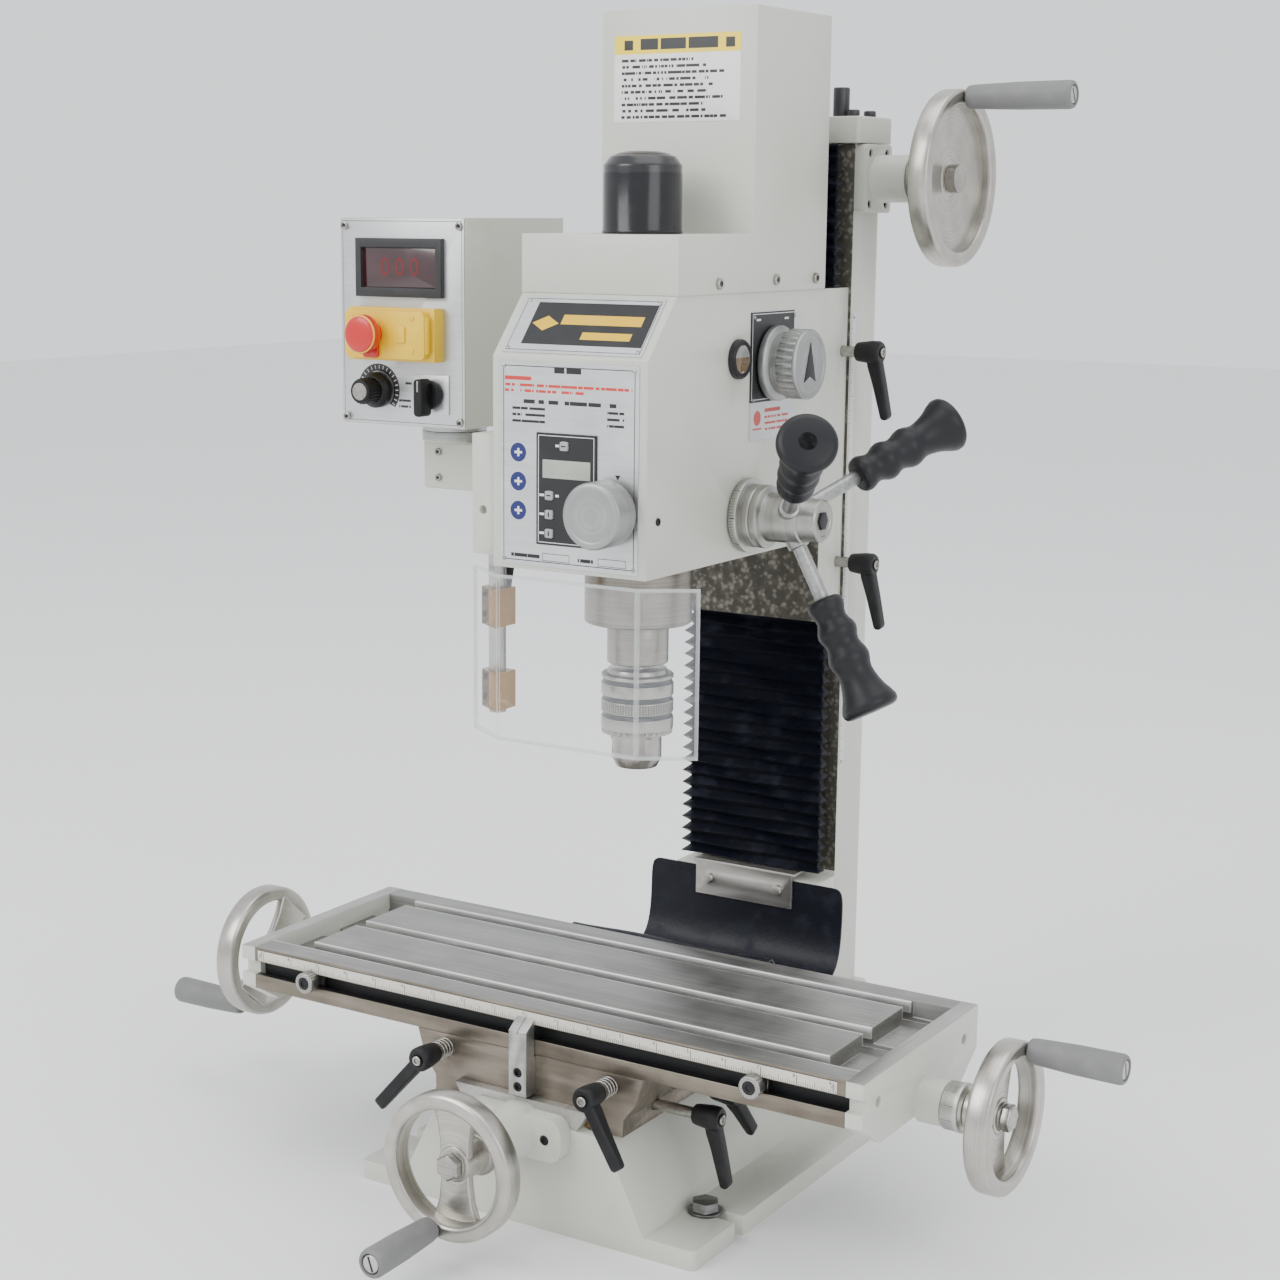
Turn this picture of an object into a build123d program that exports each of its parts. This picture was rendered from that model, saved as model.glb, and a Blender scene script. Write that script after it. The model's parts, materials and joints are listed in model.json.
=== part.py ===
from build123d import *
import math
import os

# A bench-top milling and drilling machine: dovetail column, geared head with a
# quill and a drill chuck, and a compound table.  Millimetres, +Z up, +X to the
# machine's right, +Y back to the column.  The origin is the centre of the
# base's underside.

# ---- driving dimensions ------------------------------------------------------

# base
BASE_W, BASE_D, FLANGE_T = 272.0, 390.0, 14.0
PED_TOP, PED_HALF_LOW, PED_HALF_HIGH = 76.0, 104.0, 67.0
WALL = 10.0
BOLT_X, BOLT_Y, BOLT_SLOT_W = 110.0, 135.0, 12.0

# dovetail ways: half width at the root and at the crest
Y_WAY_ROOT, Y_WAY_CREST, Y_WAY_TOP, Y_WAY_BACK = 44.5, 54.0, 90.5, 112.0
X_WAY_ROOT, X_WAY_CREST, X_WAY_TOP = 40.0, 48.0, 131.0
Z_WAY_ROOT, Z_WAY_CREST, Z_WAY_FRONT = 40.0, 49.0, 132.0
SLIDE_GAP = 0.2
LOCK_SHANK, Z_LOCK_SHANK = 10.0, 7.0   # how far a clamp lever's shank goes in
GIB_T = 4.0

# column
COL_HALF, COL_FRONT, COL_BACK, COL_FOOT, COL_TOP = 62.0, 145.0, 190.0, 76.0, 723.0
PLATE_T = 19.0
FOOT_FRONT, FOOT_TOP = 117.0, 172.0

# saddle and table
SADDLE_FRONT, SADDLE_BACK, SADDLE_HALF, SADDLE_TOP = -187.0, -27.0, 91.0, 119.5
Y_LOCK_Z = 86.0
TABLE_L, TABLE_FRONT, TABLE_BACK = 474.0, -188.0, -12.0
TABLE_BOTTOM, TABLE_TOP = 120.0, 151.0
BRACKET_T = 12.0
T_PITCH, T_THROAT, T_THROAT_D, T_WIDE, T_WIDE_D = 61.0, 12.0, 8.0, 20.0, 7.0
TROUGH_L, TROUGH_D = 28.0, 12.0
TABLE_Y = (TABLE_FRONT + TABLE_BACK) / 2

# leadscrews
SCREW_R, RUN = 8.0, 0.06
X_SCREW_Y, X_SCREW_Z = -97.0, 112.0
Y_SCREW_Z, Y_WHEEL_Y = 70.0, -274.0
X_WHEEL_X = 305.0
Z_SCREW_Y, Z_SHAFT_Z, Z_WHEEL_X = 168.0, 698.0, 129.0

# handwheels: outer radius and grip length
SMALL_WHEEL_R, SMALL_GRIP_L = 50.0, 64.0
LARGE_WHEEL_R, LARGE_GRIP_L = 62.5, 80.0
RIM_RADIAL, RIM_AXIAL = 11.0, 16.0
GRIP_R, GRIP_PIN_R = 10.0, 4.0
WEB_LEAD = 16.0

# head
HEAD_HALF, HEAD_FRONT, HEAD_BACK, HEAD_BOTTOM, HEAD_TOP = 60.0, -139.0, 108.0, 439.0, 620.0
BEVEL_Y, BEVEL_Z = -104.0, 580.0
HEAD_WALL, GEARBOX_FLOOR = 9.0, 560.0
SLIDE_BOTTOM = 376.0
COVER_HALF, COVER_LOW_TOP, COVER_TALL_FRONT, COVER_BACK, COVER_TOP = 61.0, 659.0, -4.0, 105.0, 809.0
SHEET = 1.5

# quill, spindle and chuck, all on one vertical axis
SPINDLE_Y = -49.0
QUILL_R, QUILL_BOTTOM, QUILL_TOP = 37.5, 394.0, 545.0
SPINDLE_R, SHANK_R, NOSE_R, NOSE_BOTTOM = 17.0, 11.0, 21.5, 365.0
CHUCK_R, CHUCK_TOP, CHUCK_SLEEVE_BOTTOM, CHUCK_BOTTOM = 25.5, 361.0, 315.0, 291.0
CHUCK_BODY_R, CHUCK_NOSE_R, CHUCK_BORE_R = 20.0, 17.5, 6.5
JAW_R, JAW_L, JAW_TILT, JAW_TIP = 2.6, 24.0, 18.0, 9.3
CAP_R, CAP_TOP = 26.5, 713.0

# gear train: module and tooth counts
MODULE = 1.0
SPINDLE_TEETH, SMALL_TEETH, LARGE_TEETH, MOTOR_TEETH, PINION_TEETH = 68, 36, 64, 22, 16
CLUSTER_Y = SPINDLE_Y + MODULE * (SPINDLE_TEETH + SMALL_TEETH) / 2
MOTOR_Y = CLUSTER_Y + MODULE * (LARGE_TEETH + MOTOR_TEETH) / 2
MOTOR_R, MOTOR_H = 40.0, 130.0

# quill feed: the pinion's pitch circle touches the rack's pitch plane
FEED_Z = 468.7
RACK_PITCH_Y = SPINDLE_Y + QUILL_R - 4.5
FEED_Y = RACK_PITCH_Y + MODULE * PINION_TEETH / 2
FEED_HUB_X, LEVER_L, LEVER_TILT, LEVER_TURN = 93.0, 145.0, 29.0, 29.0

# readout on the front plate
KNOB_X, KNOB_Z, KNOB_R = 34.0, 482.0, 22.0
PANEL = (-24.0, 22.5, 457.0, 531.0)
BUTTONS = {"power": (-2.0, 523.0), "unit": (-13.6, 490.0), "up": (-13.6, 477.4), "down": (-13.6, 464.8)}
BUTTON_W = 6.2

# gear knob and sight glass on the right side
GEAR_KNOB_Y, GEAR_KNOB_Z = 29.0, 571.0
GLASS_Y, GLASS_Z, GLASS_R = -21.5, 576.0, 13.5

# guard
ROD_X, ROD_Y, ROD_R = -70.0, -120.0, 6.0
GUARD_FRONT, GUARD_HALF, WING_L, WING_TURN, GUARD_T = -143.0, 55.0, 42.0, 33.0, 3.0
GUARD_LOW, GUARD_HIGH = 320.0, 434.0

# control box
BOX_X, BOX_FRONT, BOX_BACK, BOX_HALF = -229.5, -13.0, 117.0, 57.5
BOX_LOW, BOX_HIGH, DISC_R = 515.0, 668.5, 25.0


# ---- shape helpers -----------------------------------------------------------

def block(x0, x1, y0, y1, z0, z1):
    return Pos((x0 + x1) / 2, (y0 + y1) / 2, (z0 + z1) / 2) * Box(x1 - x0, y1 - y0, z1 - z0)


def prism(axis, points, start, end):
    """A polygon drawn square to an axis, as a bar from start to end along it."""
    places = {"X": lambda u, v: (start, u, v),
              "Y": lambda u, v: (u, start, v),
              "Z": lambda u, v: (u, v, start)}
    ways = {"X": (1, 0, 0), "Y": (0, 1, 0), "Z": (0, 0, 1)}
    outline = Polyline(*[places[axis](u, v) for u, v in points], close=True)
    return extrude(make_face(outline), amount=end - start, dir=ways[axis])


def along(axis, at):
    """The place where local +Z runs along a row axis through the point at."""
    if axis == "X":
        return Pos(0, at[0], at[1]) * Rot(0, 90, 0)
    if axis == "Y":
        return Pos(at[0], 0, at[1]) * Rot(-90, 0, 0)
    return Pos(at[0], at[1], 0)


def rod(axis, at, radius, start, end):
    return along(axis, at) * Pos(0, 0, (start + end) / 2) * Cylinder(radius, end - start)


def ring(axis, at, outer, inner, start, end):
    return rod(axis, at, outer, start, end) - rod(axis, at, inner, start - 1, end + 1)


def turned(axis, at, profile):
    """A lathe shape: profile holds (distance along the axis, radius) points."""
    start, end = profile[0][0], profile[-1][0]
    points = [(0, 0, start)] + [(r, 0, d) for d, r in profile] + [(0, 0, end)]
    return along(axis, at) * revolve(make_face(Polyline(*points, close=True)), Axis.Z)


def gear(teeth, thickness, module=MODULE, share=0.44):
    """A spur gear on +Z with involute flanks and a tooth centred on +X."""
    pitch = module * teeth / 2
    base, tip, root = pitch * math.cos(math.radians(20)), pitch + 0.95 * module, pitch - 1.2 * module
    flat = math.tan(math.radians(20)) - math.radians(20)
    half = share * math.pi / teeth
    steps = [root, max(base, root) + 0.02, pitch - 0.3 * module, pitch, pitch + 0.5 * module, tip]

    def lean(radius):
        if radius <= base:
            return half + flat
        turn = math.acos(base / radius)
        return half + flat - (math.tan(turn) - turn)

    points = []
    for k in range(teeth):
        middle = 2 * math.pi * k / teeth
        side = [(r, middle - lean(r)) for r in steps] + [(r, middle + lean(r)) for r in reversed(steps)]
        points += [(r * math.cos(a), r * math.sin(a)) for r, a in side]
    return prism("Z", points, 0, thickness)


def union(shapes):
    whole = shapes[0]
    for shape in shapes[1:]:
        whole = whole + shape
    return whole


def group(*shapes):
    return Compound(children=[solid for shape in shapes for solid in shape.solids()])


def save(name, shape):
    export_step(shape, "parts/" + name + ".step")


# ---- base and column ---------------------------------------------------------

def base_casting():
    front, back = -BASE_D / 2, BASE_D / 2
    flange = block(-BASE_W / 2, BASE_W / 2, front, back, 0, FLANGE_T)
    flange = fillet(flange.edges().filter_by(Axis.Z), 4)
    pedestal = prism("Y", [(-PED_HALF_LOW, 0), (PED_HALF_LOW, 0), (PED_HALF_HIGH, PED_TOP),
                           (-PED_HALF_HIGH, PED_TOP)], front, back)
    way = prism("Y", [(-Y_WAY_ROOT, PED_TOP - 1), (Y_WAY_ROOT, PED_TOP - 1), (Y_WAY_ROOT, PED_TOP),
                      (Y_WAY_CREST, Y_WAY_TOP), (-Y_WAY_CREST, Y_WAY_TOP), (-Y_WAY_ROOT, PED_TOP)],
                front, Y_WAY_BACK)
    foot = block(-COL_HALF, COL_HALF, FOOT_FRONT, COL_FRONT, PED_TOP - 1, FOOT_TOP)
    roof = PED_TOP - WALL - 4
    hollow = prism("Y", [(-PED_HALF_LOW + WALL, -1), (PED_HALF_LOW - WALL, -1), (PED_HALF_HIGH - WALL, roof),
                         (-PED_HALF_HIGH + WALL, roof)], front + 14, back - 14)
    nut_slot = block(-17, 17, front + 20, Y_WAY_BACK - 12, roof - 5, Y_WAY_TOP + 1)
    screw_hole = rod("Y", (0, Y_SCREW_Z), 12, front - 1, front + 25)
    casting = flange + pedestal + way + foot - hollow - nut_slot - screw_hole
    for sx in (-1, 1):
        for sy in (-1, 1):
            x, y = sx * BOLT_X, sy * BOLT_Y
            far = sx * (BASE_W / 2 + 1)
            casting -= rod("Z", (x, y), BOLT_SLOT_W / 2, -1, FLANGE_T + 1)
            casting -= block(min(x, far), max(x, far), y - BOLT_SLOT_W / 2, y + BOLT_SLOT_W / 2, -1,
                             FLANGE_T + 1)
            casting -= rod("Z", (x, y), 13.5, FLANGE_T - 0.8, FLANGE_T + 20)
    return casting


def hold_down_bolts():
    bolts = []
    seat = FLANGE_T - 0.8
    for sx in (-1, 1):
        for sy in (-1, 1):
            place = Pos(sx * BOLT_X, sy * BOLT_Y, 0)
            washer = ring("Z", (0, 0), 12, 5.0, seat, seat + 2)
            head = Pos(0, 0, seat + 2) * extrude(RegularPolygon(9.8, 6), amount=6.4)
            shank = rod("Z", (0, 0), 5.0, 1.0, seat + 3)
            bolts.append(place * (washer + head + shank))
    return group(*bolts)


def column_casting():
    body = block(-COL_HALF, COL_HALF, COL_FRONT, COL_BACK, COL_FOOT, COL_TOP)
    body = fillet(body.edges().filter_by(Axis.Z).filter_by(lambda e: e.center().Y > COL_FRONT + 1), 5)
    way = prism("Z", [(-Z_WAY_ROOT, COL_FRONT + 1), (-Z_WAY_ROOT, COL_FRONT), (-Z_WAY_CREST, Z_WAY_FRONT),
                      (Z_WAY_CREST, Z_WAY_FRONT), (Z_WAY_ROOT, COL_FRONT), (Z_WAY_ROOT, COL_FRONT + 1)],
                FOOT_TOP + 8, COL_TOP)
    hollow = block(-COL_HALF + WALL, COL_HALF - WALL, COL_FRONT + WALL - 2, COL_BACK - 7, COL_FOOT - 1,
                   COL_TOP - 8)
    nut_slot = block(-14, 14, Z_WAY_FRONT - 1, COL_FRONT + WALL, 230, COL_TOP - 60)
    shaft_hole = rod("X", (Z_SCREW_Y, Z_SHAFT_Z), 14, COL_HALF - WALL - 1, COL_HALF + 1)
    floor = block(-COL_HALF + WALL - 1, COL_HALF - WALL + 1, COL_FRONT + WALL - 3, COL_BACK - 6, 96, 108)
    step_hole = rod("Z", (0, Z_SCREW_Y), SCREW_R + RUN, 90, 112)
    return body + way - hollow - nut_slot - shaft_hole + floor - step_hole


def column_top_plate():
    plate = block(-COL_HALF - 6, COL_HALF + 6, COL_FRONT - 6, COL_BACK + 4, COL_TOP, COL_TOP + PLATE_T)
    plate = fillet(plate.edges().filter_by(Axis.Z), 3)
    cap = rod("Z", (44, COL_FRONT + 12), 6, COL_TOP + PLATE_T, COL_TOP + PLATE_T + 21)
    screws = [rod("Z", (x, y), 4.5, COL_TOP + PLATE_T, COL_TOP + PLATE_T + 5)
              for x in (-50, 56) for y in (COL_FRONT + 8, COL_BACK - 10)]
    return group(plate, cap, *screws)


def screw_brackets():
    """The casting on the base's front and the bearing block on the column's side."""
    face = -BASE_D / 2
    pad = block(-40, 40, face - 12, face, Y_SCREW_Z - 15, Y_SCREW_Z + 15)
    pad = fillet(pad.edges().filter_by(Axis.Y), 10)
    barrel = turned("Y", (0, Y_SCREW_Z), [(face - 36, 15), (face - 11, 19), (face, 19)])
    front = pad + barrel - rod("Y", (0, Y_SCREW_Z), SCREW_R + RUN, face - 40, face + 1)
    for x in (-27, 27):
        front -= rod("Y", (x, Y_SCREW_Z), 3.6, face - 13, face - 4)
    flange = block(COL_HALF, COL_HALF + 9, Z_SCREW_Y - 23, Z_SCREW_Y + 20, Z_SHAFT_Z - 24.5, Z_SHAFT_Z + 24.5)
    flange = fillet(flange.edges().filter_by(Axis.X), 4)
    neck = turned("X", (Z_SCREW_Y, Z_SHAFT_Z), [(COL_HALF, 17), (COL_HALF + 34, 17), (COL_HALF + 36, 16)])
    side = flange + neck - rod("X", (Z_SCREW_Y, Z_SHAFT_Z), SCREW_R + RUN, COL_HALF - 1, COL_HALF + 40)
    for y in (-15, 12):
        for z in (-18, 18):
            side -= rod("X", (Z_SCREW_Y + y, Z_SHAFT_Z + z), 3.2, COL_HALF + 4, COL_HALF + 10)
    return group(front, side)


def bellows_foot_bracket():
    top, front = FOOT_TOP + 6.0, 112.0
    strip = block(-42, 42, front, front + 2.5, top - 28, top)
    shelf = block(-44, 44, front, Z_WAY_FRONT - 0.5, top - 2.5, top)
    bolts = [rod("Y", (x, top - 14), 4, front - 4, front + 2) for x in (-30, 30)]
    nuts = [rod("Z", (x, front + 7), 3.5, top - 5, top) for x in (-36, 36)]
    return union([strip, shelf] + bolts + nuts)


def bellows(low, high):
    return block(-COL_HALF + 0.5, COL_HALF - 0.5, 119.5, Z_WAY_FRONT - 0.5, low, high)


def apron_sheet():
    """The rubber sheet from the column's foot down and forward to the saddle."""
    half, thick = 86.0, 2.0
    hung = FOOT_FRONT - 1.2
    outer = [(hung, FOOT_TOP + 0.5), (hung, 128), (104, 108), (70, 100), (30, 104), (14, 118), (10, 140),
             (2, 148.5), (-6, 146), (-9.5, 138), (-9.5, 112)]
    spine = FilletPolyline(*[(0, y, z) for y, z in outer], radius=2.4)
    profile = Plane(origin=(0, hung, FOOT_TOP + 0.5), x_dir=(1, 0, 0),
                    z_dir=(0, 0, -1)) * Rectangle(2 * half, thick)
    return sweep(profile, path=spine)


# ---- saddle and table --------------------------------------------------------

def saddle_casting():
    gap = SLIDE_GAP
    body = prism("Y", [(-SADDLE_HALF + 15, PED_TOP + gap), (SADDLE_HALF - 15, PED_TOP + gap),
                       (SADDLE_HALF - 15, 88),
                       (SADDLE_HALF - 6, 100), (SADDLE_HALF, SADDLE_TOP), (-SADDLE_HALF, SADDLE_TOP),
                       (-SADDLE_HALF + 6, 100), (-SADDLE_HALF + 15, 88)], SADDLE_FRONT, SADDLE_BACK)
    crest = prism("X", [(TABLE_Y - X_WAY_ROOT, SADDLE_TOP - 1), (TABLE_Y + X_WAY_ROOT, SADDLE_TOP - 1),
                        (TABLE_Y + X_WAY_ROOT, SADDLE_TOP), (TABLE_Y + X_WAY_CREST, X_WAY_TOP),
                        (TABLE_Y - X_WAY_CREST, X_WAY_TOP), (TABLE_Y - X_WAY_ROOT, SADDLE_TOP)],
                  -SADDLE_HALF, SADDLE_HALF)
    groove = prism("Y", [(-Y_WAY_ROOT - gap, PED_TOP - 1), (Y_WAY_ROOT + GIB_T + gap, PED_TOP - 1),
                         (Y_WAY_ROOT + GIB_T + gap, PED_TOP), (Y_WAY_CREST + GIB_T + gap, Y_WAY_TOP + gap),
                         (-Y_WAY_CREST - gap, Y_WAY_TOP + gap), (-Y_WAY_ROOT - gap, PED_TOP)],
                   SADDLE_FRONT - 1, SADDLE_BACK + 1)
    channel = block(-SADDLE_HALF - 1, SADDLE_HALF + 1, X_SCREW_Y - 11, X_SCREW_Y + 11, X_SCREW_Z - 11,
                    X_WAY_TOP + 1)
    casting = body + crest - groove - channel
    for x in (-66, 66):
        casting -= rod("Y", (x, 111), 4.1, SADDLE_FRONT - 1, SADDLE_FRONT + 14)
    for y in (-145, -100):
        casting -= rod("X", (y, Y_LOCK_Z), 4.1, SADDLE_HALF - 30, SADDLE_HALF + 1)
    return casting


def saddle_fittings():
    """The two gibs, the two leadscrew nuts and the index block on the front."""
    lean = (Y_WAY_CREST - Y_WAY_ROOT) / (Y_WAY_TOP - PED_TOP)
    low, high, gap = PED_TOP + 1, Y_WAY_TOP - 1, SLIDE_GAP
    inner = [Y_WAY_ROOT + gap + lean * (z - PED_TOP) for z in (low, high)]
    y_gib = prism("Y", [(inner[0], low), (inner[0] + GIB_T - gap, low), (inner[1] + GIB_T - gap, high),
                        (inner[1], high)], SADDLE_FRONT + 1, SADDLE_BACK - 1)
    x_lean = (X_WAY_CREST - X_WAY_ROOT) / (X_WAY_TOP - SADDLE_TOP)
    edge = TABLE_Y + X_WAY_ROOT
    x_low, x_high = SADDLE_TOP + 1.5, X_WAY_TOP - 1
    inner = [edge + 0.05 + x_lean * (z - SADDLE_TOP) for z in (x_low, x_high)]
    x_gib = prism("X", [(inner[0], x_low), (inner[0] + GIB_T, x_low), (inner[1] + GIB_T, x_high),
                        (inner[1], x_high)],
                  -SADDLE_HALF + 1, SADDLE_HALF - 1)
    middle = (SADDLE_FRONT + SADDLE_BACK) / 2
    y_nut = block(-13, 13, middle - 16, middle + 16, Y_SCREW_Z - 13, Y_WAY_TOP + SLIDE_GAP)
    y_nut -= rod("Y", (0, Y_SCREW_Z), SCREW_R + RUN, middle - 20, middle + 20)
    x_nut = block(-16, 16, X_SCREW_Y - 11, X_SCREW_Y + 11, X_SCREW_Z - 11, X_SCREW_Z + 12)
    x_nut -= rod("X", (X_SCREW_Y, X_SCREW_Z), SCREW_R + RUN, -20, 20)
    return group(y_gib, x_gib, y_nut, x_nut, index_block())


def index_block():
    front, back = TABLE_FRONT - 10.5, TABLE_FRONT - 0.5
    body = prism("X", [(back, 92.5), (front, 92.5), (front, 138), (back, 145)], -7, 7)
    tail = block(-7, 7, back - 0.5, SADDLE_FRONT, 92.5, SADDLE_TOP - 1)
    for z in (99, 109):
        body -= rod("Y", (0, z), 3.4, front - 1, front + 4)
    return body + tail


def table_casting():
    gap = SLIDE_GAP
    half = TABLE_L / 2
    body = block(-half, half, TABLE_FRONT, TABLE_BACK, TABLE_BOTTOM, TABLE_TOP)
    for k in (-1, 0, 1):
        y = TABLE_Y + k * T_PITCH
        floor = TABLE_TOP - T_THROAT_D
        body -= block(-half - 1, half + 1, y - T_THROAT / 2, y + T_THROAT / 2, floor - 1, TABLE_TOP + 1)
        body -= block(-half - 1, half + 1, y - T_WIDE / 2, y + T_WIDE / 2, floor - T_WIDE_D, floor)
    for s in (-1, 1):
        inner, outer = s * (half - TROUGH_L), s * (half + 1)
        body -= block(min(inner, outer), max(inner, outer), TABLE_FRONT + 22, TABLE_BACK - 16,
                      TABLE_TOP - TROUGH_D, TABLE_TOP + 1)
    low = TABLE_BOTTOM - 1
    female = prism("X", [(TABLE_Y - X_WAY_ROOT - gap, low), (TABLE_Y + X_WAY_ROOT + GIB_T + gap, low),
                         (TABLE_Y + X_WAY_ROOT + GIB_T + gap, SADDLE_TOP),
                         (TABLE_Y + X_WAY_CREST + GIB_T + gap, X_WAY_TOP + gap),
                         (TABLE_Y - X_WAY_CREST - gap, X_WAY_TOP + gap),
                         (TABLE_Y - X_WAY_ROOT - gap, SADDLE_TOP)], -half - 1, half + 1)
    slot = block(-half - 1, half + 1, TABLE_FRONT - 1, TABLE_FRONT + 6, 130.5, 140.5)
    wide = block(-half - 1, half + 1, TABLE_FRONT + 6, TABLE_FRONT + 11, 127, 144)
    return body - female - slot - wide


def end_brackets():
    outline = [(TABLE_FRONT, TABLE_TOP), (TABLE_FRONT, 121), (TABLE_FRONT + 27, 104), (TABLE_BACK - 24, 104),
               (TABLE_BACK, 121), (TABLE_BACK, TABLE_TOP)]
    inner = TABLE_L / 2
    brackets = []
    for s in (-1, 1):
        start, end = min(s * inner, s * (inner + BRACKET_T)), max(s * inner, s * (inner + BRACKET_T))
        plate = prism("X", outline, start, end)
        face = s * (inner + BRACKET_T)
        tip = face + s * 17
        boss = rod("X", (X_SCREW_Y, X_SCREW_Z), 15, min(face, tip), max(face, tip))
        hole = rod("X", (X_SCREW_Y, X_SCREW_Z), SCREW_R + RUN, -300 if s < 0 else 230, -230 if s < 0 else 300)
        bracket = plate + boss - hole
        for y in (TABLE_Y - T_PITCH - 5, TABLE_Y + T_PITCH + 5):
            bracket -= rod("X", (y, 133), 3.6, min(face - s * 6, face + s), max(face - s * 6, face + s))
        bracket -= block(start - 1, end + 1, TABLE_FRONT - 1, TABLE_FRONT + 6, 130.5, 140.5)
        brackets.append(bracket)
    return group(*brackets)


def travel_stops():
    stops = []
    for x in (-185, 174):
        collar = rod("Y", (x, 135.5), 7.6, TABLE_FRONT - 9, TABLE_FRONT)
        shank = rod("Y", (x, 135.5), 4.4, TABLE_FRONT - 1, TABLE_FRONT + 6)
        nut = block(x - 6, x + 6, TABLE_FRONT + 6.2, TABLE_FRONT + 10.2, 129, 142)
        socket = rod("Y", (x, 135.5), 3.2, TABLE_FRONT - 10, TABLE_FRONT - 5)
        stops.append(collar + shank + nut - socket)
    return group(*stops)


# ---- handwheels, grips and leadscrews ------------------------------------------

def handwheel(radius, solid_web, grip_length, grip_turn, hub_reach, dial):
    """A wheel on local +Z, which points away from the machine, centred on the rim."""
    rim = ring("Z", (0, 0), radius, radius - RIM_RADIAL, -RIM_AXIAL / 2, RIM_AXIAL / 2)
    hub = ring("Z", (0, 0), 13, SCREW_R + RUN, -hub_reach, -2)
    if solid_web:
        web = turned("Z", (0, 0), [(-12, radius - RIM_RADIAL - 24), (-7, radius - RIM_RADIAL + 2),
                                   (1, radius - RIM_RADIAL + 2), (-3, 13)])
        web = web - rod("Z", (0, 0), SCREW_R + RUN, -40, 40)
    else:
        bar = block(-radius + 6, radius - 6, -12, 12, -9, -3) - rod("Z", (0, 0), SCREW_R + RUN, -40, 40)
        web = Rot(0, 0, grip_turn + WEB_LEAD) * bar
    dial_ring = ring("Z", (0, 0), dial[0], SCREW_R + 0.5, dial[1], dial[2])
    reach = radius - RIM_RADIAL / 2
    x, y = reach * math.cos(math.radians(grip_turn)), reach * math.sin(math.radians(grip_turn))
    pin = rod("Z", (x, y), GRIP_PIN_R, RIM_AXIAL / 2 - 2, RIM_AXIAL / 2 + grip_length - 3)
    head = rod("Z", (x, y), 6.5, RIM_AXIAL / 2 + grip_length - 3.5, RIM_AXIAL / 2 + grip_length)
    wheel = union([rim, hub, web, pin, head])
    return group(wheel, dial_ring)


def grip(radius, length, turn):
    """A turning handle on its pin, in the handwheel's own local frame."""
    reach = radius - RIM_RADIAL / 2
    x, y = reach * math.cos(math.radians(turn)), reach * math.sin(math.radians(turn))
    start = RIM_AXIAL / 2 + 0.4
    end = RIM_AXIAL / 2 + length
    shape = turned("Z", (x, y), [(start, 7.5), (start + 4, 8.4), (start + length * 0.55, GRIP_R),
                                 (end - 2.5, GRIP_R), (end, 8.6)])
    shape -= rod("Z", (x, y), GRIP_PIN_R + RUN, start - 1, end + 1)
    return shape - rod("Z", (x, y), 6.8, end - 4, end + 1)


Y_WHEEL_PLACE = Pos(0, Y_WHEEL_Y, Y_SCREW_Z) * Rot(90, 0, 0)
X_RIGHT_PLACE = Pos(X_WHEEL_X, X_SCREW_Y, X_SCREW_Z) * Rot(0, 90, 0)
X_LEFT_PLACE = Pos(-X_WHEEL_X, X_SCREW_Y, X_SCREW_Z) * Rot(0, -90, 0)
Z_WHEEL_PLACE = Pos(Z_WHEEL_X, Z_SCREW_Y, Z_SHAFT_Z) * Rot(0, 90, 0)

# where the grip stands on each wheel, measured round the wheel's own axis
Y_GRIP_TURN, X_RIGHT_TURN, X_LEFT_TURN, Z_GRIP_TURN = -105.0, 158.0, 205.0, 177.0


def leadscrew(axis, at, start, end, nut_ends):
    """A threaded bar, drawn at its outer radius, with a flange nut at each free end."""
    bar = rod(axis, at, SCREW_R, start, end)
    for place, way in nut_ends:
        low, high = min(place, place + way * 8), max(place, place + way * 8)
        bar += rod(axis, at, 10.0, low, high)
    return bar


def cross_shaft():
    """The Z handwheel's shaft with its bevel gear, drawn as a plain cone."""
    bar = rod("X", (Z_SCREW_Y, Z_SHAFT_Z), SCREW_R, 4, Z_WHEEL_X - 1)
    nut = rod("X", (Z_SCREW_Y, Z_SHAFT_Z), 10, Z_WHEEL_X - 1.9, Z_WHEEL_X + 6)
    cone = turned("X", (Z_SCREW_Y, Z_SHAFT_Z), [(12.5, 10), (20, 14.4), (25, 12)])
    return bar + nut + cone


def z_leadscrew():
    bar = rod("Z", (0, Z_SCREW_Y), SCREW_R, 92, Z_SHAFT_Z - SCREW_R - 1)
    low = Z_SHAFT_Z - 26
    cone = turned("Z", (0, Z_SCREW_Y), [(low, 10.5), (low + 4.5, 14), (low + 13, 9)])
    collar = rod("Z", (0, Z_SCREW_Y), 12, 108.5, 116)
    return bar + cone + collar


# ---- lock levers ---------------------------------------------------------------

def lock_lever(point, outward, arm, stud, reach=50.0, spring=False, depth=LOCK_SHANK):
    """A clamping lever: a stud in the casting, a round hub and a tapered arm.

    Local +Z is the stud's axis and local +X the way that the arm points.
    """
    shank = rod("Z", (0, 0), 4, -depth, stud + 4)
    hub = turned("Z", (0, 0), [(stud, 7.0), (stud + 14, 8.5), (stud + 20, 7.8)])
    screw = rod("Z", (0, 0), 3.5, stud + 20, stud + 21.5)
    bar = prism("Y", [(4, stud + 8), (4, stud + 19.5), (reach, stud + 25), (reach, stud + 18)], -4.5, 4.5)
    lever = shank + hub + screw + bar
    parts = [lever]
    if spring:
        parts.append(ring("Z", (0, 0), 7, 5, 0.6, stud - 0.4))
    place = Plane(origin=point, x_dir=arm, z_dir=outward).location
    return place * group(*parts)


# ---- head --------------------------------------------------------------------

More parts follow.
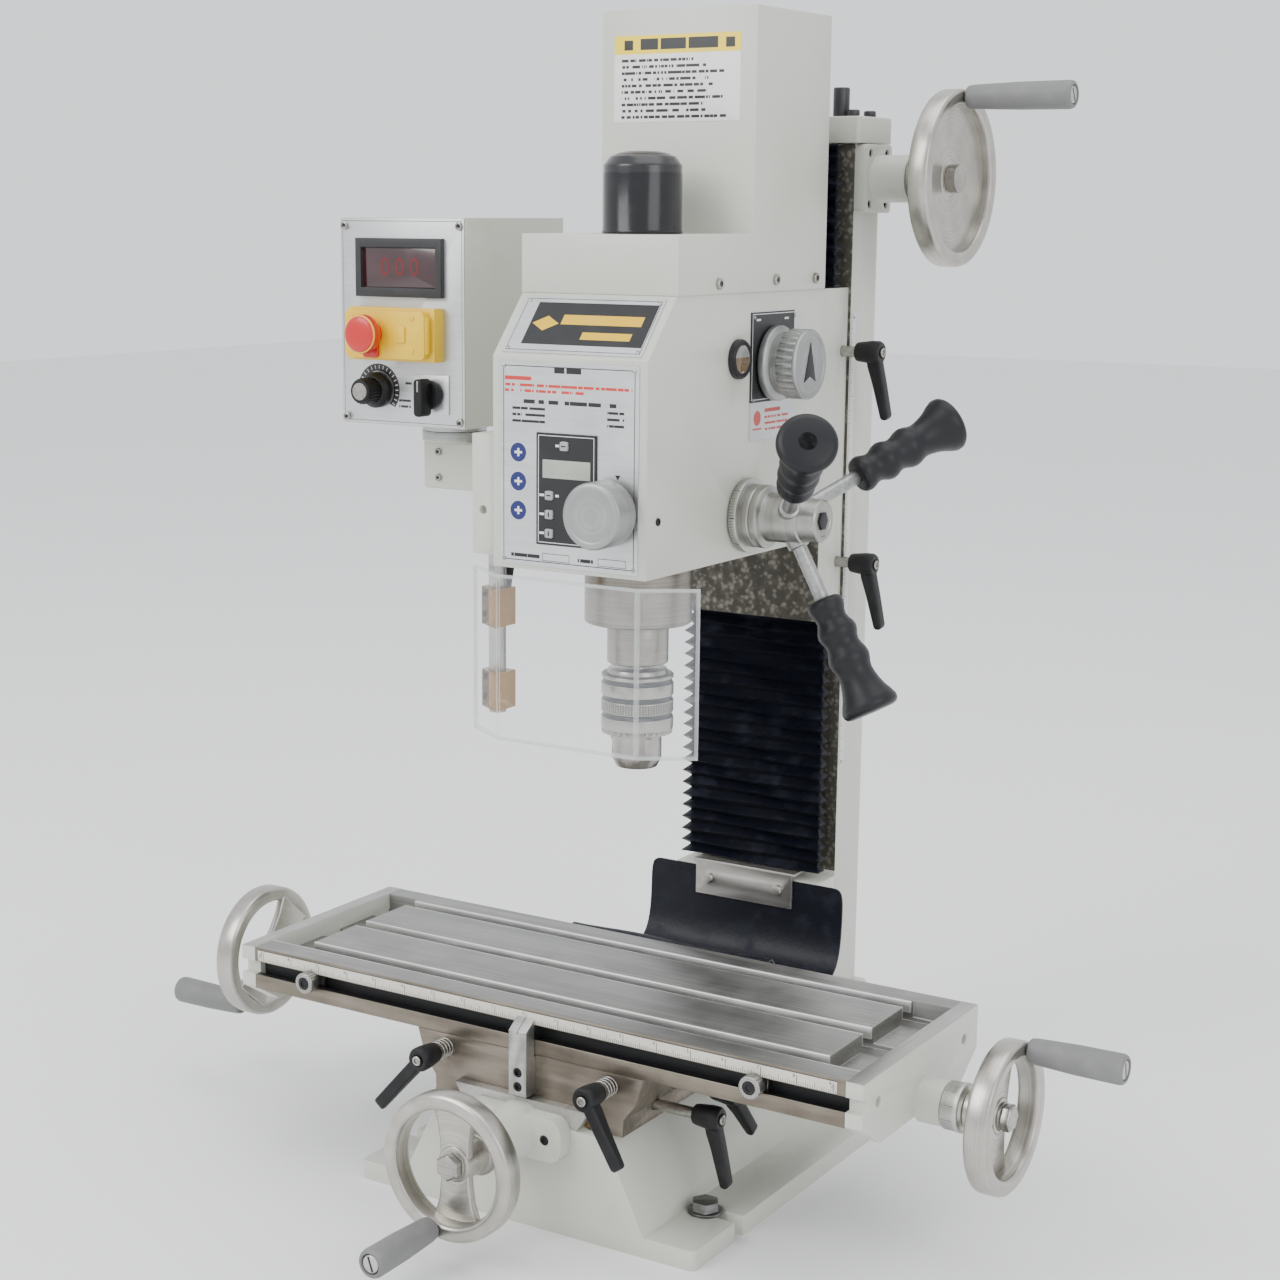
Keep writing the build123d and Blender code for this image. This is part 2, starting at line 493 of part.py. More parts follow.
def head_casting():
    outline = [(HEAD_FRONT, HEAD_BOTTOM), (HEAD_BACK, HEAD_BOTTOM), (HEAD_BACK, HEAD_TOP),
               (BEVEL_Y, HEAD_TOP),
               (HEAD_FRONT, BEVEL_Z)]
    body = prism("X", outline, -HEAD_HALF, HEAD_HALF)
    inside = [(BEVEL_Y + 12, GEARBOX_FLOOR), (HEAD_BACK - HEAD_WALL, GEARBOX_FLOOR),
              (HEAD_BACK - HEAD_WALL, 611),
              (BEVEL_Y + 12, 611)]
    body -= prism("X", inside, -HEAD_HALF + HEAD_WALL, HEAD_HALF - HEAD_WALL)
    body -= rod("Z", (0, SPINDLE_Y), QUILL_R + RUN, HEAD_BOTTOM - 1, GEARBOX_FLOOR + 1)
    body -= block(-40, 40, 15, HEAD_BACK - HEAD_WALL, HEAD_BOTTOM - 1, GEARBOX_FLOOR - 12)
    body -= rod("Z", (0, SPINDLE_Y), 22, 600, HEAD_TOP + 1)
    body -= rod("Z", (0, CLUSTER_Y), 6 + RUN, GEARBOX_FLOOR - 10, GEARBOX_FLOOR + 1)
    body -= rod("Z", (0, MOTOR_Y), 10, 600, HEAD_TOP + 1)
    body -= rod("X", (FEED_Y, FEED_Z), 9.5 + RUN, -26, HEAD_HALF + 1)
    body -= rod("X", (FEED_Y, FEED_Z), 6 + RUN, -44, -25)
    body -= rod("X", (GEAR_KNOB_Y, GEAR_KNOB_Z), 6 + RUN, HEAD_HALF - HEAD_WALL - 1, HEAD_HALF + 1)
    body -= rod("X", (GLASS_Y, GLASS_Z), 9, HEAD_HALF - HEAD_WALL - 1, HEAD_HALF + 1)
    body -= rod("Y", (KNOB_X, KNOB_Z), 5 + RUN, HEAD_FRONT - 1, HEAD_FRONT + 30)
    body -= rod("X", (-95, 451), 4.1, -HEAD_HALF - 1, -HEAD_HALF + 14)
    for x, z in BUTTONS.values():
        body -= block(x - 4, x + 4, HEAD_FRONT - 1, HEAD_FRONT + 4, z - 4, z + 4)
    return body


def head_slide():
    """The carriage that the head is bolted to, with its dovetail and leadscrew nut."""
    gap = SLIDE_GAP
    plate = block(-HEAD_HALF, HEAD_HALF, HEAD_BACK, COL_FRONT - gap, SLIDE_BOTTOM, HEAD_TOP)
    female = prism("Z", [(-Z_WAY_ROOT - gap, COL_FRONT + 1), (-Z_WAY_ROOT - gap, COL_FRONT),
                         (-Z_WAY_CREST - gap, Z_WAY_FRONT - gap),
                         (Z_WAY_CREST + GIB_T + gap, Z_WAY_FRONT - gap),
                         (Z_WAY_ROOT + GIB_T + gap, COL_FRONT), (Z_WAY_ROOT + GIB_T + gap, COL_FRONT + 1)],
                   SLIDE_BOTTOM - 1, HEAD_TOP + 1)
    plate -= female
    for z in (574, 418):
        plate -= rod("X", (138, z), 4.1, HEAD_HALF - Z_LOCK_SHANK - 1, HEAD_HALF + 1)
    lean = (Z_WAY_CREST - Z_WAY_ROOT) / (COL_FRONT - Z_WAY_FRONT)
    near, far = Z_WAY_FRONT + 1, COL_FRONT - 1
    edge = [Z_WAY_ROOT + gap + lean * (COL_FRONT - y) for y in (near, far)]
    gib = prism("Z", [(edge[0], near), (edge[0] + GIB_T - gap, near), (edge[1] + GIB_T - gap, far),
                      (edge[1], far)],
                SLIDE_BOTTOM + 2, HEAD_TOP - 2)
    arm = block(-12, 12, Z_WAY_FRONT - gap, Z_SCREW_Y - 12, 480, 516)
    nut = block(-12, 12, Z_SCREW_Y - 12, Z_SCREW_Y + 12, 480, 516)
    nut -= rod("Z", (0, Z_SCREW_Y), SCREW_R + RUN, 470, 530)
    return group(plate + arm + nut, gib)


def head_covers():
    """The sheet cover over the gears and motor, and the cap over the drawbar."""
    low, high = HEAD_TOP, COVER_LOW_TOP
    shell = block(-COVER_HALF, COVER_HALF, BEVEL_Y, COVER_BACK, low, high)
    shell += block(-COVER_HALF, COVER_HALF, COVER_TALL_FRONT, COVER_BACK, low, COVER_TOP)
    inner = block(-COVER_HALF + SHEET, COVER_HALF - SHEET, BEVEL_Y + SHEET, COVER_BACK - SHEET, low - 1,
                  high - SHEET)
    inner += block(-COVER_HALF + SHEET, COVER_HALF - SHEET, COVER_TALL_FRONT + SHEET, COVER_BACK - SHEET,
                   low - 1, COVER_TOP - SHEET)
    shell = shell - inner - rod("Z", (0, SPINDLE_Y), 22, high - 3, high + 1)
    cap = turned("Z", (0, SPINDLE_Y), [(high, CAP_R), (CAP_TOP - 9, CAP_R), (CAP_TOP - 3, 22), (CAP_TOP, 12)])
    cap -= turned("Z", (0, SPINDLE_Y), [(high - 1, 22), (CAP_TOP - 11, 22), (CAP_TOP - 3, 10)])
    return group(shell, cap)


def head_plates():
    """Front plate, sloping plate, readout panel, gear plate and sight glass."""
    front = block(-54, 54, HEAD_FRONT - 0.8, HEAD_FRONT, HEAD_BOTTOM + 3, BEVEL_Z - 3)
    front -= rod("Y", (KNOB_X, KNOB_Z), 9, HEAD_FRONT - 3, HEAD_FRONT + 3)
    x0, x1, z0, z1 = PANEL
    panel = block(x0, x1, HEAD_FRONT - 2.0, HEAD_FRONT - 0.8, z0, z1)
    panel -= rod("Y", (KNOB_X, KNOB_Z), KNOB_R + 1, HEAD_FRONT - 3, HEAD_FRONT + 3)
    for x, z in BUTTONS.values():
        hole = BUTTON_W / 2 + 0.3
        front -= block(x - hole, x + hole, HEAD_FRONT - 3, HEAD_FRONT + 1, z - hole, z + hole)
        panel -= block(x - hole, x + hole, HEAD_FRONT - 3, HEAD_FRONT + 1, z - hole, z + hole)
    rise, run = HEAD_TOP - BEVEL_Z, BEVEL_Y - HEAD_FRONT
    slope = math.hypot(rise, run)
    out = (0, -rise / slope, run / slope)
    middle = ((HEAD_FRONT + BEVEL_Y) / 2, (BEVEL_Z + HEAD_TOP) / 2)
    face = Plane(origin=(0, middle[0], middle[1]), x_dir=(1, 0, 0), z_dir=out)
    sloping = face.location * Pos(0, 0, 0.4) * Box(108, slope - 6, 0.8)
    gear_plate = block(HEAD_HALF, HEAD_HALF + 0.8, COVER_TALL_FRONT, 63, 519, 607)
    gear_plate -= rod("X", (GEAR_KNOB_Y, GEAR_KNOB_Z), 9, HEAD_HALF - 1, HEAD_HALF + 2)
    bezel = turned("X", (GLASS_Y, GLASS_Z), [(HEAD_HALF - 6, 8.9), (HEAD_HALF, 8.9), (HEAD_HALF, GLASS_R),
                                             (HEAD_HALF + 3, GLASS_R), (HEAD_HALF + 4, GLASS_R - 2)])
    return group(front, panel, sloping, gear_plate, bezel)


def motor():
    body = turned("Z", (0, MOTOR_Y), [(HEAD_TOP, 36), (HEAD_TOP + 8, MOTOR_R), (HEAD_TOP + MOTOR_H, MOTOR_R),
                                      (HEAD_TOP + MOTOR_H + 12, 30)])
    return body - rod("Z", (0, MOTOR_Y), 6.3, HEAD_TOP - 1, HEAD_TOP + 50)


GEAR_LOW, GEAR_HIGH = 572.0, 594.0


def motor_pinion():
    turn = -90 + 180 / MOTOR_TEETH
    teeth = Pos(0, MOTOR_Y, GEAR_HIGH - 2) * Rot(0, 0, turn) * gear(MOTOR_TEETH, 14)
    return teeth + rod("Z", (0, MOTOR_Y), 6, GEAR_HIGH - 4, HEAD_TOP + 46)


def cluster_gear():
    large = Pos(0, CLUSTER_Y, GEAR_HIGH) * Rot(0, 0, 90) * gear(LARGE_TEETH, 10)
    small = Pos(0, CLUSTER_Y, GEAR_LOW) * Rot(0, 0, -90 + 180 / SMALL_TEETH) * gear(SMALL_TEETH, 14)
    return union([large, small, rod("Z", (0, CLUSTER_Y), 9, GEAR_LOW - 8, GEAR_HIGH + 12),
                  rod("Z", (0, CLUSTER_Y), 6, GEARBOX_FLOOR - 9, GEAR_LOW)])


def spindle_gear():
    teeth = Pos(0, SPINDLE_Y, GEAR_LOW) * Rot(0, 0, 90) * gear(SPINDLE_TEETH, 12)
    sleeve = rod("Z", (0, SPINDLE_Y), 15, GEARBOX_FLOOR + 2, HEAD_TOP - 4)
    return teeth + sleeve - rod("Z", (0, SPINDLE_Y), SHANK_R + RUN, GEARBOX_FLOOR, HEAD_TOP)


# ---- quill, spindle and chuck --------------------------------------------------

def quill():
    tube = rod("Z", (0, SPINDLE_Y), QUILL_R, QUILL_BOTTOM, QUILL_TOP)
    tube = chamfer(tube.edges().filter_by(GeomType.CIRCLE), 1)
    tube -= rod("Z", (0, SPINDLE_Y), 19, QUILL_BOTTOM - 1, QUILL_TOP + 1)
    for low in (QUILL_BOTTOM, QUILL_TOP - 16):
        start = low - 1 if low == QUILL_BOTTOM else low
        tube -= rod("Z", (0, SPINDLE_Y), 26, start, start + 17)
    rack_low, rack_high = FEED_Z - 17, QUILL_TOP - 5
    tip = RACK_PITCH_Y + MODULE
    tube -= block(-20, 20, tip, tip + 10, rack_low, QUILL_TOP + 1)
    pitch = math.pi * MODULE
    half_gap, slant = pitch * 0.28, math.tan(math.radians(20))
    for k in range(-5, 23):
        z = FEED_Z + k * pitch
        if rack_low + 2 < z < rack_high:
            wide, narrow = half_gap + slant * MODULE, half_gap - slant * 1.25 * MODULE
            tube -= prism("X", [(tip + 0.01, z - wide), (tip + 0.01, z + wide),
                                (tip - 2.25 * MODULE, z + narrow),
                                (tip - 2.25 * MODULE, z - narrow)], -20, 20)
    bearings = [ring("Z", (0, SPINDLE_Y), 26, SPINDLE_R + RUN, low, low + 15.9)
                for low in (QUILL_BOTTOM + 0.1, QUILL_TOP - 16)]
    return group(tube, *bearings)


def spindle():
    shape = turned("Z", (0, SPINDLE_Y), [(NOSE_BOTTOM, NOSE_R - 1), (NOSE_BOTTOM + 1, NOSE_R),
                                         (QUILL_BOTTOM - 1.5, NOSE_R), (QUILL_BOTTOM - 1.5, SPINDLE_R),
                                         (QUILL_TOP + 3, SPINDLE_R), (QUILL_TOP + 3, SHANK_R),
                                         (668, SHANK_R)])
    hexagon = Pos(0, SPINDLE_Y, 668) * extrude(RegularPolygon(9, 6), amount=14)
    return shape + hexagon


def jaw_path(turn):
    """The place where local +Z runs up a jaw's slanting hole, from the tip's centre."""
    radial = Pos(0, SPINDLE_Y, CHUCK_BOTTOM) * Rot(0, 0, turn) * Pos(JAW_TIP, 0, 0)
    return radial * Rot(0, JAW_TILT, 0)


JAW_TURNS = (90, 210, 330)


def chuck_body():
    at = (0, SPINDLE_Y)
    body = turned("Z", at, [(CHUCK_BOTTOM, CHUCK_NOSE_R - 3), (CHUCK_BOTTOM + 6, CHUCK_NOSE_R),
                            (CHUCK_SLEEVE_BOTTOM - 1, CHUCK_NOSE_R), (CHUCK_SLEEVE_BOTTOM - 1, CHUCK_BODY_R),
                            (CHUCK_TOP - 3, CHUCK_BODY_R), (CHUCK_TOP - 3, CHUCK_R - 4),
                            (CHUCK_TOP, CHUCK_R - 5)])
    body += rod("Z", at, 8, CHUCK_TOP - 1, NOSE_BOTTOM)
    body -= rod("Z", at, CHUCK_BORE_R, CHUCK_BOTTOM - 1, CHUCK_TOP - 14)
    for turn in JAW_TURNS:
        body -= jaw_path(turn) * Pos(0, 0, (JAW_L + 5) / 2 - 3) * Cylinder(JAW_R + 0.1, JAW_L + 11)
    key_hole = Pos(0, SPINDLE_Y, 303) * Rot(0, 0, 218) * Rot(0, 90, 0) * Pos(0, 0, 14) * Cylinder(3.2, 12)
    return body - key_hole


def chuck_sleeve():
    at = (0, SPINDLE_Y)
    low, high, r = CHUCK_SLEEVE_BOTTOM, CHUCK_TOP - 3.2, CHUCK_R
    profile = [(low, r - 2.5), (low + 2.5, r)]
    for groove in (low + 12, low + 24, low + 36):
        profile += [(groove, r), (groove + 0.8, r - 1.2), (groove + 3.2, r - 1.2), (groove + 4, r)]
    profile += [(high - 1, r), (high, r - 1)]
    return turned("Z", at, profile) - rod("Z", at, CHUCK_BODY_R + RUN, low - 1, high + 1)


def jaw(turn):
    shape = jaw_path(turn) * Pos(0, 0, JAW_L / 2) * Cylinder(JAW_R, JAW_L)
    return shape - rod("Z", (0, SPINDLE_Y), 40, CHUCK_BOTTOM - 10, CHUCK_BOTTOM + 1)


# ---- quill feed and the head's knobs ---------------------------------------------

def feed_hub():
    at = (FEED_Y, FEED_Z)
    x = HEAD_HALF
    body = turned("X", at, [(-42, 6), (25, 6), (25, 9.5), (x + 0.3, 9.5), (x + 0.3, 24), (x + 1.8, 26),
                            (x + 7, 26),
                            (x + 7, 22), (x + 20, 22), (x + 20, 17), (x + 48, 17), (x + 48, 15), (x + 60, 15),
                            (x + 62, 13)])
    teeth = Pos(-11, FEED_Y, FEED_Z) * Rot(0, 90, 0) * Rot(0, 0, -90) * gear(PINION_TEETH, 22)
    body += teeth
    grips = []
    for k in range(3):
        place = lever_place(k)
        body += place * Pos(0, 0, 38) * Cylinder(5, 60)
        body += place * Pos(0, 0, 16) * Cylinder(7.5, 12)
        knob = turned("Z", (0, 0), [(61, 9), (66, 13), (76, 11), (86, 14), (96, 12), (106, 14.5), (116, 12.5),
                                    (130, 15), (139, 20), (LEVER_L - 1, 19), (LEVER_L, 16)])
        grips.append(place * (knob - rod("Z", (0, 0), 5.0, 60, 68.1)))
    return group(body, *grips)


def lever_place(k):
    """Local +Z runs out along the k-th feed lever from the hub's axis."""
    turn = math.radians(LEVER_TURN + 120 * k)
    tilt = math.radians(LEVER_TILT)
    out = (math.sin(tilt), math.cos(tilt) * math.cos(turn), math.cos(tilt) * math.sin(turn))
    return Plane(origin=(FEED_HUB_X, FEED_Y, FEED_Z), z_dir=out).location


def fine_feed_knob():
    front = HEAD_FRONT - 27.0
    shaft = rod("Y", (KNOB_X, KNOB_Z), 5, front + 10, HEAD_FRONT + 28)
    neck = rod("Y", (KNOB_X, KNOB_Z), 8, front + 10, HEAD_FRONT - 3.0)
    disc = turned("Y", (KNOB_X, KNOB_Z), [(front, KNOB_R - 2), (front + 2, KNOB_R), (front + 21, KNOB_R),
                                          (front + 21.5, KNOB_R - 1)])
    return shaft + neck + disc


def gear_knob():
    at = (GEAR_KNOB_Y, GEAR_KNOB_Z)
    x = HEAD_HALF
    body = turned("X", at, [(x - HEAD_WALL - 12, 6), (x + 1.5, 6), (x + 1.5, 26), (x + 7, 26), (x + 9, 22),
                            (x + 15, 22), (x + 16, 24.5), (x + 29, 24.5), (x + 30, 23.5)])
    fork = block(x - HEAD_WALL - 12, x - HEAD_WALL - 5, GEAR_KNOB_Y - 4, GEAR_KNOB_Y + 4, GEAR_KNOB_Z - 9,
                 GEAR_KNOB_Z + 9)
    return body + fork


def readout_button(x, z):
    half = BUTTON_W / 2
    return block(x - half, x + half, HEAD_FRONT - 3.4, HEAD_FRONT + 2, z - half, z + half)


# ---- guard and control box -----------------------------------------------------

def side_arms():
    """The guard's bracket and rod, and the arm that carries the control box."""
    bracket = block(-80, -HEAD_HALF, -137, -110, 446, 527)
    bracket = fillet(bracket.edges().filter_by(Axis.Z).filter_by(lambda e: e.center().X < -70), 3)
    bracket -= rod("Y", (ROD_X, 476), 3, -138, -131)
    bar = rod("Z", (ROD_X, ROD_Y), ROD_R, 334, 447)
    guard_arm = bracket + bar
    arm = block(-248, -HEAD_HALF, 37, 67, 462, 500)
    arm = fillet(arm.edges().filter_by(Axis.X), 3)
    disc = rod("Z", (BOX_X, 52), DISC_R, 499, 507)
    pin = rod("Z", (BOX_X, 52), 8, 506, BOX_LOW + 6)
    return group(guard_arm, arm + disc + pin)


def guard_shield():
    turn = math.radians(WING_TURN)
    wing = (WING_L * math.cos(turn), WING_L * math.sin(turn))
    centre = [(-GUARD_HALF - wing[0], GUARD_FRONT + wing[1]), (-GUARD_HALF, GUARD_FRONT),
              (GUARD_HALF, GUARD_FRONT), (GUARD_HALF + wing[0], GUARD_FRONT + wing[1])]
    shift = GUARD_T / math.cos(turn / 2)
    half = turn / 2
    lift = (GUARD_T * math.sin(turn), GUARD_T * math.cos(turn))
    back = [(centre[3][0] - lift[0], centre[3][1] + lift[1]),
            (GUARD_HALF - shift * math.sin(half), GUARD_FRONT + shift * math.cos(half)),
            (-GUARD_HALF + shift * math.sin(half), GUARD_FRONT + shift * math.cos(half)),
            (centre[0][0] + lift[0], centre[0][1] + lift[1])]
    sheet = prism("Z", centre + back, GUARD_LOW, GUARD_HIGH)
    # each clamp reaches from the rod to the wing's back face
    left, right, rear = ROD_X - 12, ROD_X + 9, ROD_Y + 9
    faces = [GUARD_FRONT + (-GUARD_HALF - x) * math.tan(turn) + GUARD_T / math.cos(turn)
             for x in (left, right)]
    clamps = []
    for low in (395.0, 337.0):
        body = prism("Z", [(left, rear), (right, rear), (right, faces[1]), (left, faces[0])], low, low + 26)
        clamps.append(body - rod("Z", (ROD_X, ROD_Y), ROD_R + RUN, low - 1, low + 27))
    return group(sheet, *clamps)


PANEL_Y = BOX_FRONT - 1.2
ESTOP_HINGE_X = -196.0


def control_box():
    shell = block(BOX_X - BOX_HALF, BOX_X + BOX_HALF, BOX_FRONT, BOX_BACK, BOX_LOW, BOX_HIGH)
    shell -= block(BOX_X - BOX_HALF + 2, BOX_X + BOX_HALF - 2, BOX_FRONT - 1, BOX_BACK - 2, BOX_LOW + 2,
                   BOX_HIGH - 2)
    shell -= rod("Z", (BOX_X, 52), 8 + RUN, BOX_LOW - 1, BOX_LOW + 3)
    foot = ring("Z", (BOX_X, 52), DISC_R, 8 + RUN, 507.3, BOX_LOW)
    plate = block(BOX_X - BOX_HALF + 0.5, BOX_X + BOX_HALF - 0.5, PANEL_Y, BOX_FRONT, BOX_LOW + 0.5,
                  BOX_HIGH - 0.5)
    plate -= rod("Y", (-252, 541), 4 + RUN, PANEL_Y - 1, BOX_FRONT + 1)
    plate -= rod("Y", (-202, 539.5), 4 + RUN, PANEL_Y - 1, BOX_FRONT + 1)
    bezel = block(-269, -190, PANEL_Y - 5, PANEL_Y, 610.5, 653.5)
    bezel -= block(-264, -195, PANEL_Y - 6, PANEL_Y - 2.5, 617, 647)
    estop_base = block(-270, -191, PANEL_Y - 12, PANEL_Y, 564, 603)
    selector_plate = block(-218, -186, PANEL_Y - 1.5, PANEL_Y, 525, 554)
    selector_plate -= rod("Y", (-202, 539.5), 4 + RUN, PANEL_Y - 2, BOX_FRONT + 1)
    return group(shell + foot, plate, bezel, estop_base, selector_plate)


def estop_lid():
    front = PANEL_Y - 12.4
    lid = block(-268, ESTOP_HINGE_X + 1, front - 7, front, 566, 601)
    lid = fillet(lid.edges().filter_by(Axis.Y), 4)
    barrel = rod("Z", (ESTOP_HINGE_X, front - 3.3), 3, 570, 597)
    mushroom = turned("Y", (-243, 584), [(front - 24, 10), (front - 22, 14), (front - 15, 14),
                                         (front - 14, 9),
                                         (front - 6, 9)])
    return group(lid + barrel, mushroom - lid)


def speed_knob():
    return turned("Y", (-252, 541), [(PANEL_Y - 24, 8.5), (PANEL_Y - 22, 9.5), (PANEL_Y - 9, 10),
                                     (PANEL_Y - 6, 13.5), (PANEL_Y - 0.5, 13.5), (PANEL_Y - 0.5, 4),
                                     (BOX_FRONT + 8, 4)])


def selector_knob():
    disc = rod("Y", (-202, 539.5), 11, PANEL_Y - 7, PANEL_Y - 2)
    shaft = rod("Y", (-202, 539.5), 4, PANEL_Y - 3, BOX_FRONT + 8)
    bar = block(-206, -198, PANEL_Y - 19, PANEL_Y - 6, 524, 552)
    bar = fillet(bar.edges().filter_by(Axis.Y), 3)
    return disc + shaft + bar


# ---- write every piece ---------------------------------------------------------

def write_stand():
    save("base_casting", base_casting())
    save("hold_down_bolts", hold_down_bolts())
    save("column_casting", column_casting())
    save("column_top_plate", column_top_plate())
    save("screw_brackets", screw_brackets())
    save("bellows_foot_bracket", bellows_foot_bracket())
    save("lower_bellows", bellows(FOOT_TOP + 6.3, SLIDE_BOTTOM - 0.3))
    save("upper_bellows", bellows(HEAD_TOP + 0.3, COL_TOP - 0.3))
    save("rear_apron", apron_sheet())


def write_table():
    save("saddle_casting", saddle_casting())
    save("saddle_fittings", saddle_fittings())
    save("table_casting", table_casting())
    save("end_brackets", end_brackets())
    save("travel_stops", travel_stops())


def write_screws():
    small = (SMALL_WHEEL_R, SMALL_GRIP_L)
    save("y_leadscrew", leadscrew("Y", (0, Y_SCREW_Z), Y_WHEEL_Y + 1, 90, [(Y_WHEEL_Y + 1.9, -1)]))
    front_wheel = handwheel(small[0], False, small[1], Y_GRIP_TURN, 25, (17, -41.5, -27.5))
    save("y_handwheel", Y_WHEEL_PLACE * front_wheel)
    save("y_grip", Y_WHEEL_PLACE * grip(small[0], small[1], Y_GRIP_TURN))
    ends = [(X_WHEEL_X - 1.9, 1), (-X_WHEEL_X + 1.9, -1)]
    save("x_leadscrew", leadscrew("X", (X_SCREW_Y, X_SCREW_Z), -X_WHEEL_X + 1, X_WHEEL_X - 1, ends))
    dial = (16, -38.5, -26.5)
    right = X_RIGHT_PLACE * handwheel(small[0], False, small[1], X_RIGHT_TURN, 25, dial)
    left = X_LEFT_PLACE * handwheel(small[0], False, small[1], X_LEFT_TURN, 25, dial)
    save("x_handwheels", group(right, left))
    save("x_grip_right", X_RIGHT_PLACE * grip(small[0], small[1], X_RIGHT_TURN))
    save("x_grip_left", X_LEFT_PLACE * grip(small[0], small[1], X_LEFT_TURN))
    save("z_cross_shaft", cross_shaft())
    large = (LARGE_WHEEL_R, LARGE_GRIP_L)
    save("z_handwheel", Z_WHEEL_PLACE * handwheel(large[0], True, large[1], Z_GRIP_TURN, 16,
                                                  (17, -30.5, -17)))
    save("z_grip", Z_WHEEL_PLACE * grip(large[0], large[1], Z_GRIP_TURN))
    save("z_leadscrew", z_leadscrew())


def write_levers():
    down = 0.77
    front, right = (0, -1, 0), (1, 0, 0)
    save("x_lock_left", lock_lever((-66, SADDLE_FRONT, 111), front, (-0.64, 0, -down), 15, spring=True))
    save("x_lock_right", lock_lever((66, SADDLE_FRONT, 111), front, (0.6, 0, -0.8), 15, spring=True))
    # the Y lock studs reach through the saddle's sloping side
    save("y_lock_front", lock_lever((SADDLE_HALF - 10, -145, Y_LOCK_Z), right, (0, 0.12, -0.99), 26))
    save("y_lock_rear", lock_lever((SADDLE_HALF - 10, -100, Y_LOCK_Z), right, (0, 0.5, -0.866), 14, reach=38))
    save("z_lock_upper", lock_lever((HEAD_HALF, 138, 574), right, (0, 0.15, -0.99), 12, depth=Z_LOCK_SHANK))
    save("z_lock_lower", lock_lever((HEAD_HALF, 138, 418), right, (0, 0.15, -0.99), 12, depth=Z_LOCK_SHANK))
    save("quill_lock", lock_lever((-HEAD_HALF, -95, 451), (-1, 0, 0), (0, 0.1, -0.995), 4, reach=44))


def write_head():
    save("head_casting", head_casting())
    save("head_slide", head_slide())
    save("head_covers", head_covers())
    save("head_plates", head_plates())
    save("motor", motor())
    save("motor_pinion", motor_pinion())
    save("cluster_gear", cluster_gear())
    save("spindle_gear", spindle_gear())
    save("quill", quill())
    save("spindle", spindle())
    save("chuck_body", chuck_body())
    save("chuck_sleeve", chuck_sleeve())
    for number, turn in enumerate(JAW_TURNS, start=1):
        save("chuck_jaw_%d" % number, jaw(turn))
    save("feed_hub", feed_hub())
    save("fine_feed_knob", fine_feed_knob())
    save("gear_knob", gear_knob())
    for name, (x, z) in BUTTONS.items():
        save("readout_button_" + name, readout_button(x, z))


def write_side():
    save("side_arms", side_arms())
    save("guard_shield", guard_shield())
    save("control_box", control_box())
    save("estop_lid", estop_lid())
    save("speed_knob", speed_knob())
    save("selector_knob", selector_knob())


os.makedirs("parts", exist_ok=True)
write_stand()
write_table()
write_screws()
write_levers()
write_head()
write_side()
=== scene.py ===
import json
import math

import bpy
from mathutils import Matrix, Vector


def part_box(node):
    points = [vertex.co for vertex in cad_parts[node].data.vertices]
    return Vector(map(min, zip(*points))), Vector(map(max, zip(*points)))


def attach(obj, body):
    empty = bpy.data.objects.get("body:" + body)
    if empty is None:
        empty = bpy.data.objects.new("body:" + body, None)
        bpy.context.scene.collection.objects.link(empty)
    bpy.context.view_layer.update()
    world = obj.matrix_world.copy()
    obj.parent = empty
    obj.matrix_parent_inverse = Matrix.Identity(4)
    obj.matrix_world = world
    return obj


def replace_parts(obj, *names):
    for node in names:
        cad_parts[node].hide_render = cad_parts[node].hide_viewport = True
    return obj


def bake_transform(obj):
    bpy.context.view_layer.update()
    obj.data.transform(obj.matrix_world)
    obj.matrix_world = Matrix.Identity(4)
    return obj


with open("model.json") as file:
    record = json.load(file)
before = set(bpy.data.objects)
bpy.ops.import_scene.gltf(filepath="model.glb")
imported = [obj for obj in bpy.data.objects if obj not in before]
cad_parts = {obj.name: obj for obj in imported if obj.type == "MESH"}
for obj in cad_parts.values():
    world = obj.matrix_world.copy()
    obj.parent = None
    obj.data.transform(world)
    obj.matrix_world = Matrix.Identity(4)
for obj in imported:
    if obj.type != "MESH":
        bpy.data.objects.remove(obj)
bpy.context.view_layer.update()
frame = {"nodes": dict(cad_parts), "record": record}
joints = {joint["name"]: joint for joint in frame["record"]["behaviour"]["joints"]}
MM = 0.001


def pivot(name):
    return Vector(joints[name]["pos_m"])


# ---- Shading ----
# A Wire is a number that varies over a surface, so a pattern reads as a sum.
# A Look is what a material shows in one zone, and zones are mixed by masks.

class Wire:
    def __init__(self, surface, socket):
        self.surface, self.socket = surface, socket

    def math(self, operation, *others):
        return self.surface.math(operation, self, *others)

    def __add__(self, other):
        return self.math("ADD", other)

    def __sub__(self, other):
        return self.math("SUBTRACT", other)

    def __rsub__(self, other):
        return self.surface.math("SUBTRACT", other, self)

    def __mul__(self, other):
        return self.math("MULTIPLY", other)

    def __truediv__(self, other):
        return self.math("DIVIDE", other)

    def __gt__(self, other):
        return self.math("GREATER_THAN", other)

    def __lt__(self, other):
        return self.math("LESS_THAN", other)

    __radd__, __rmul__ = __add__, __mul__


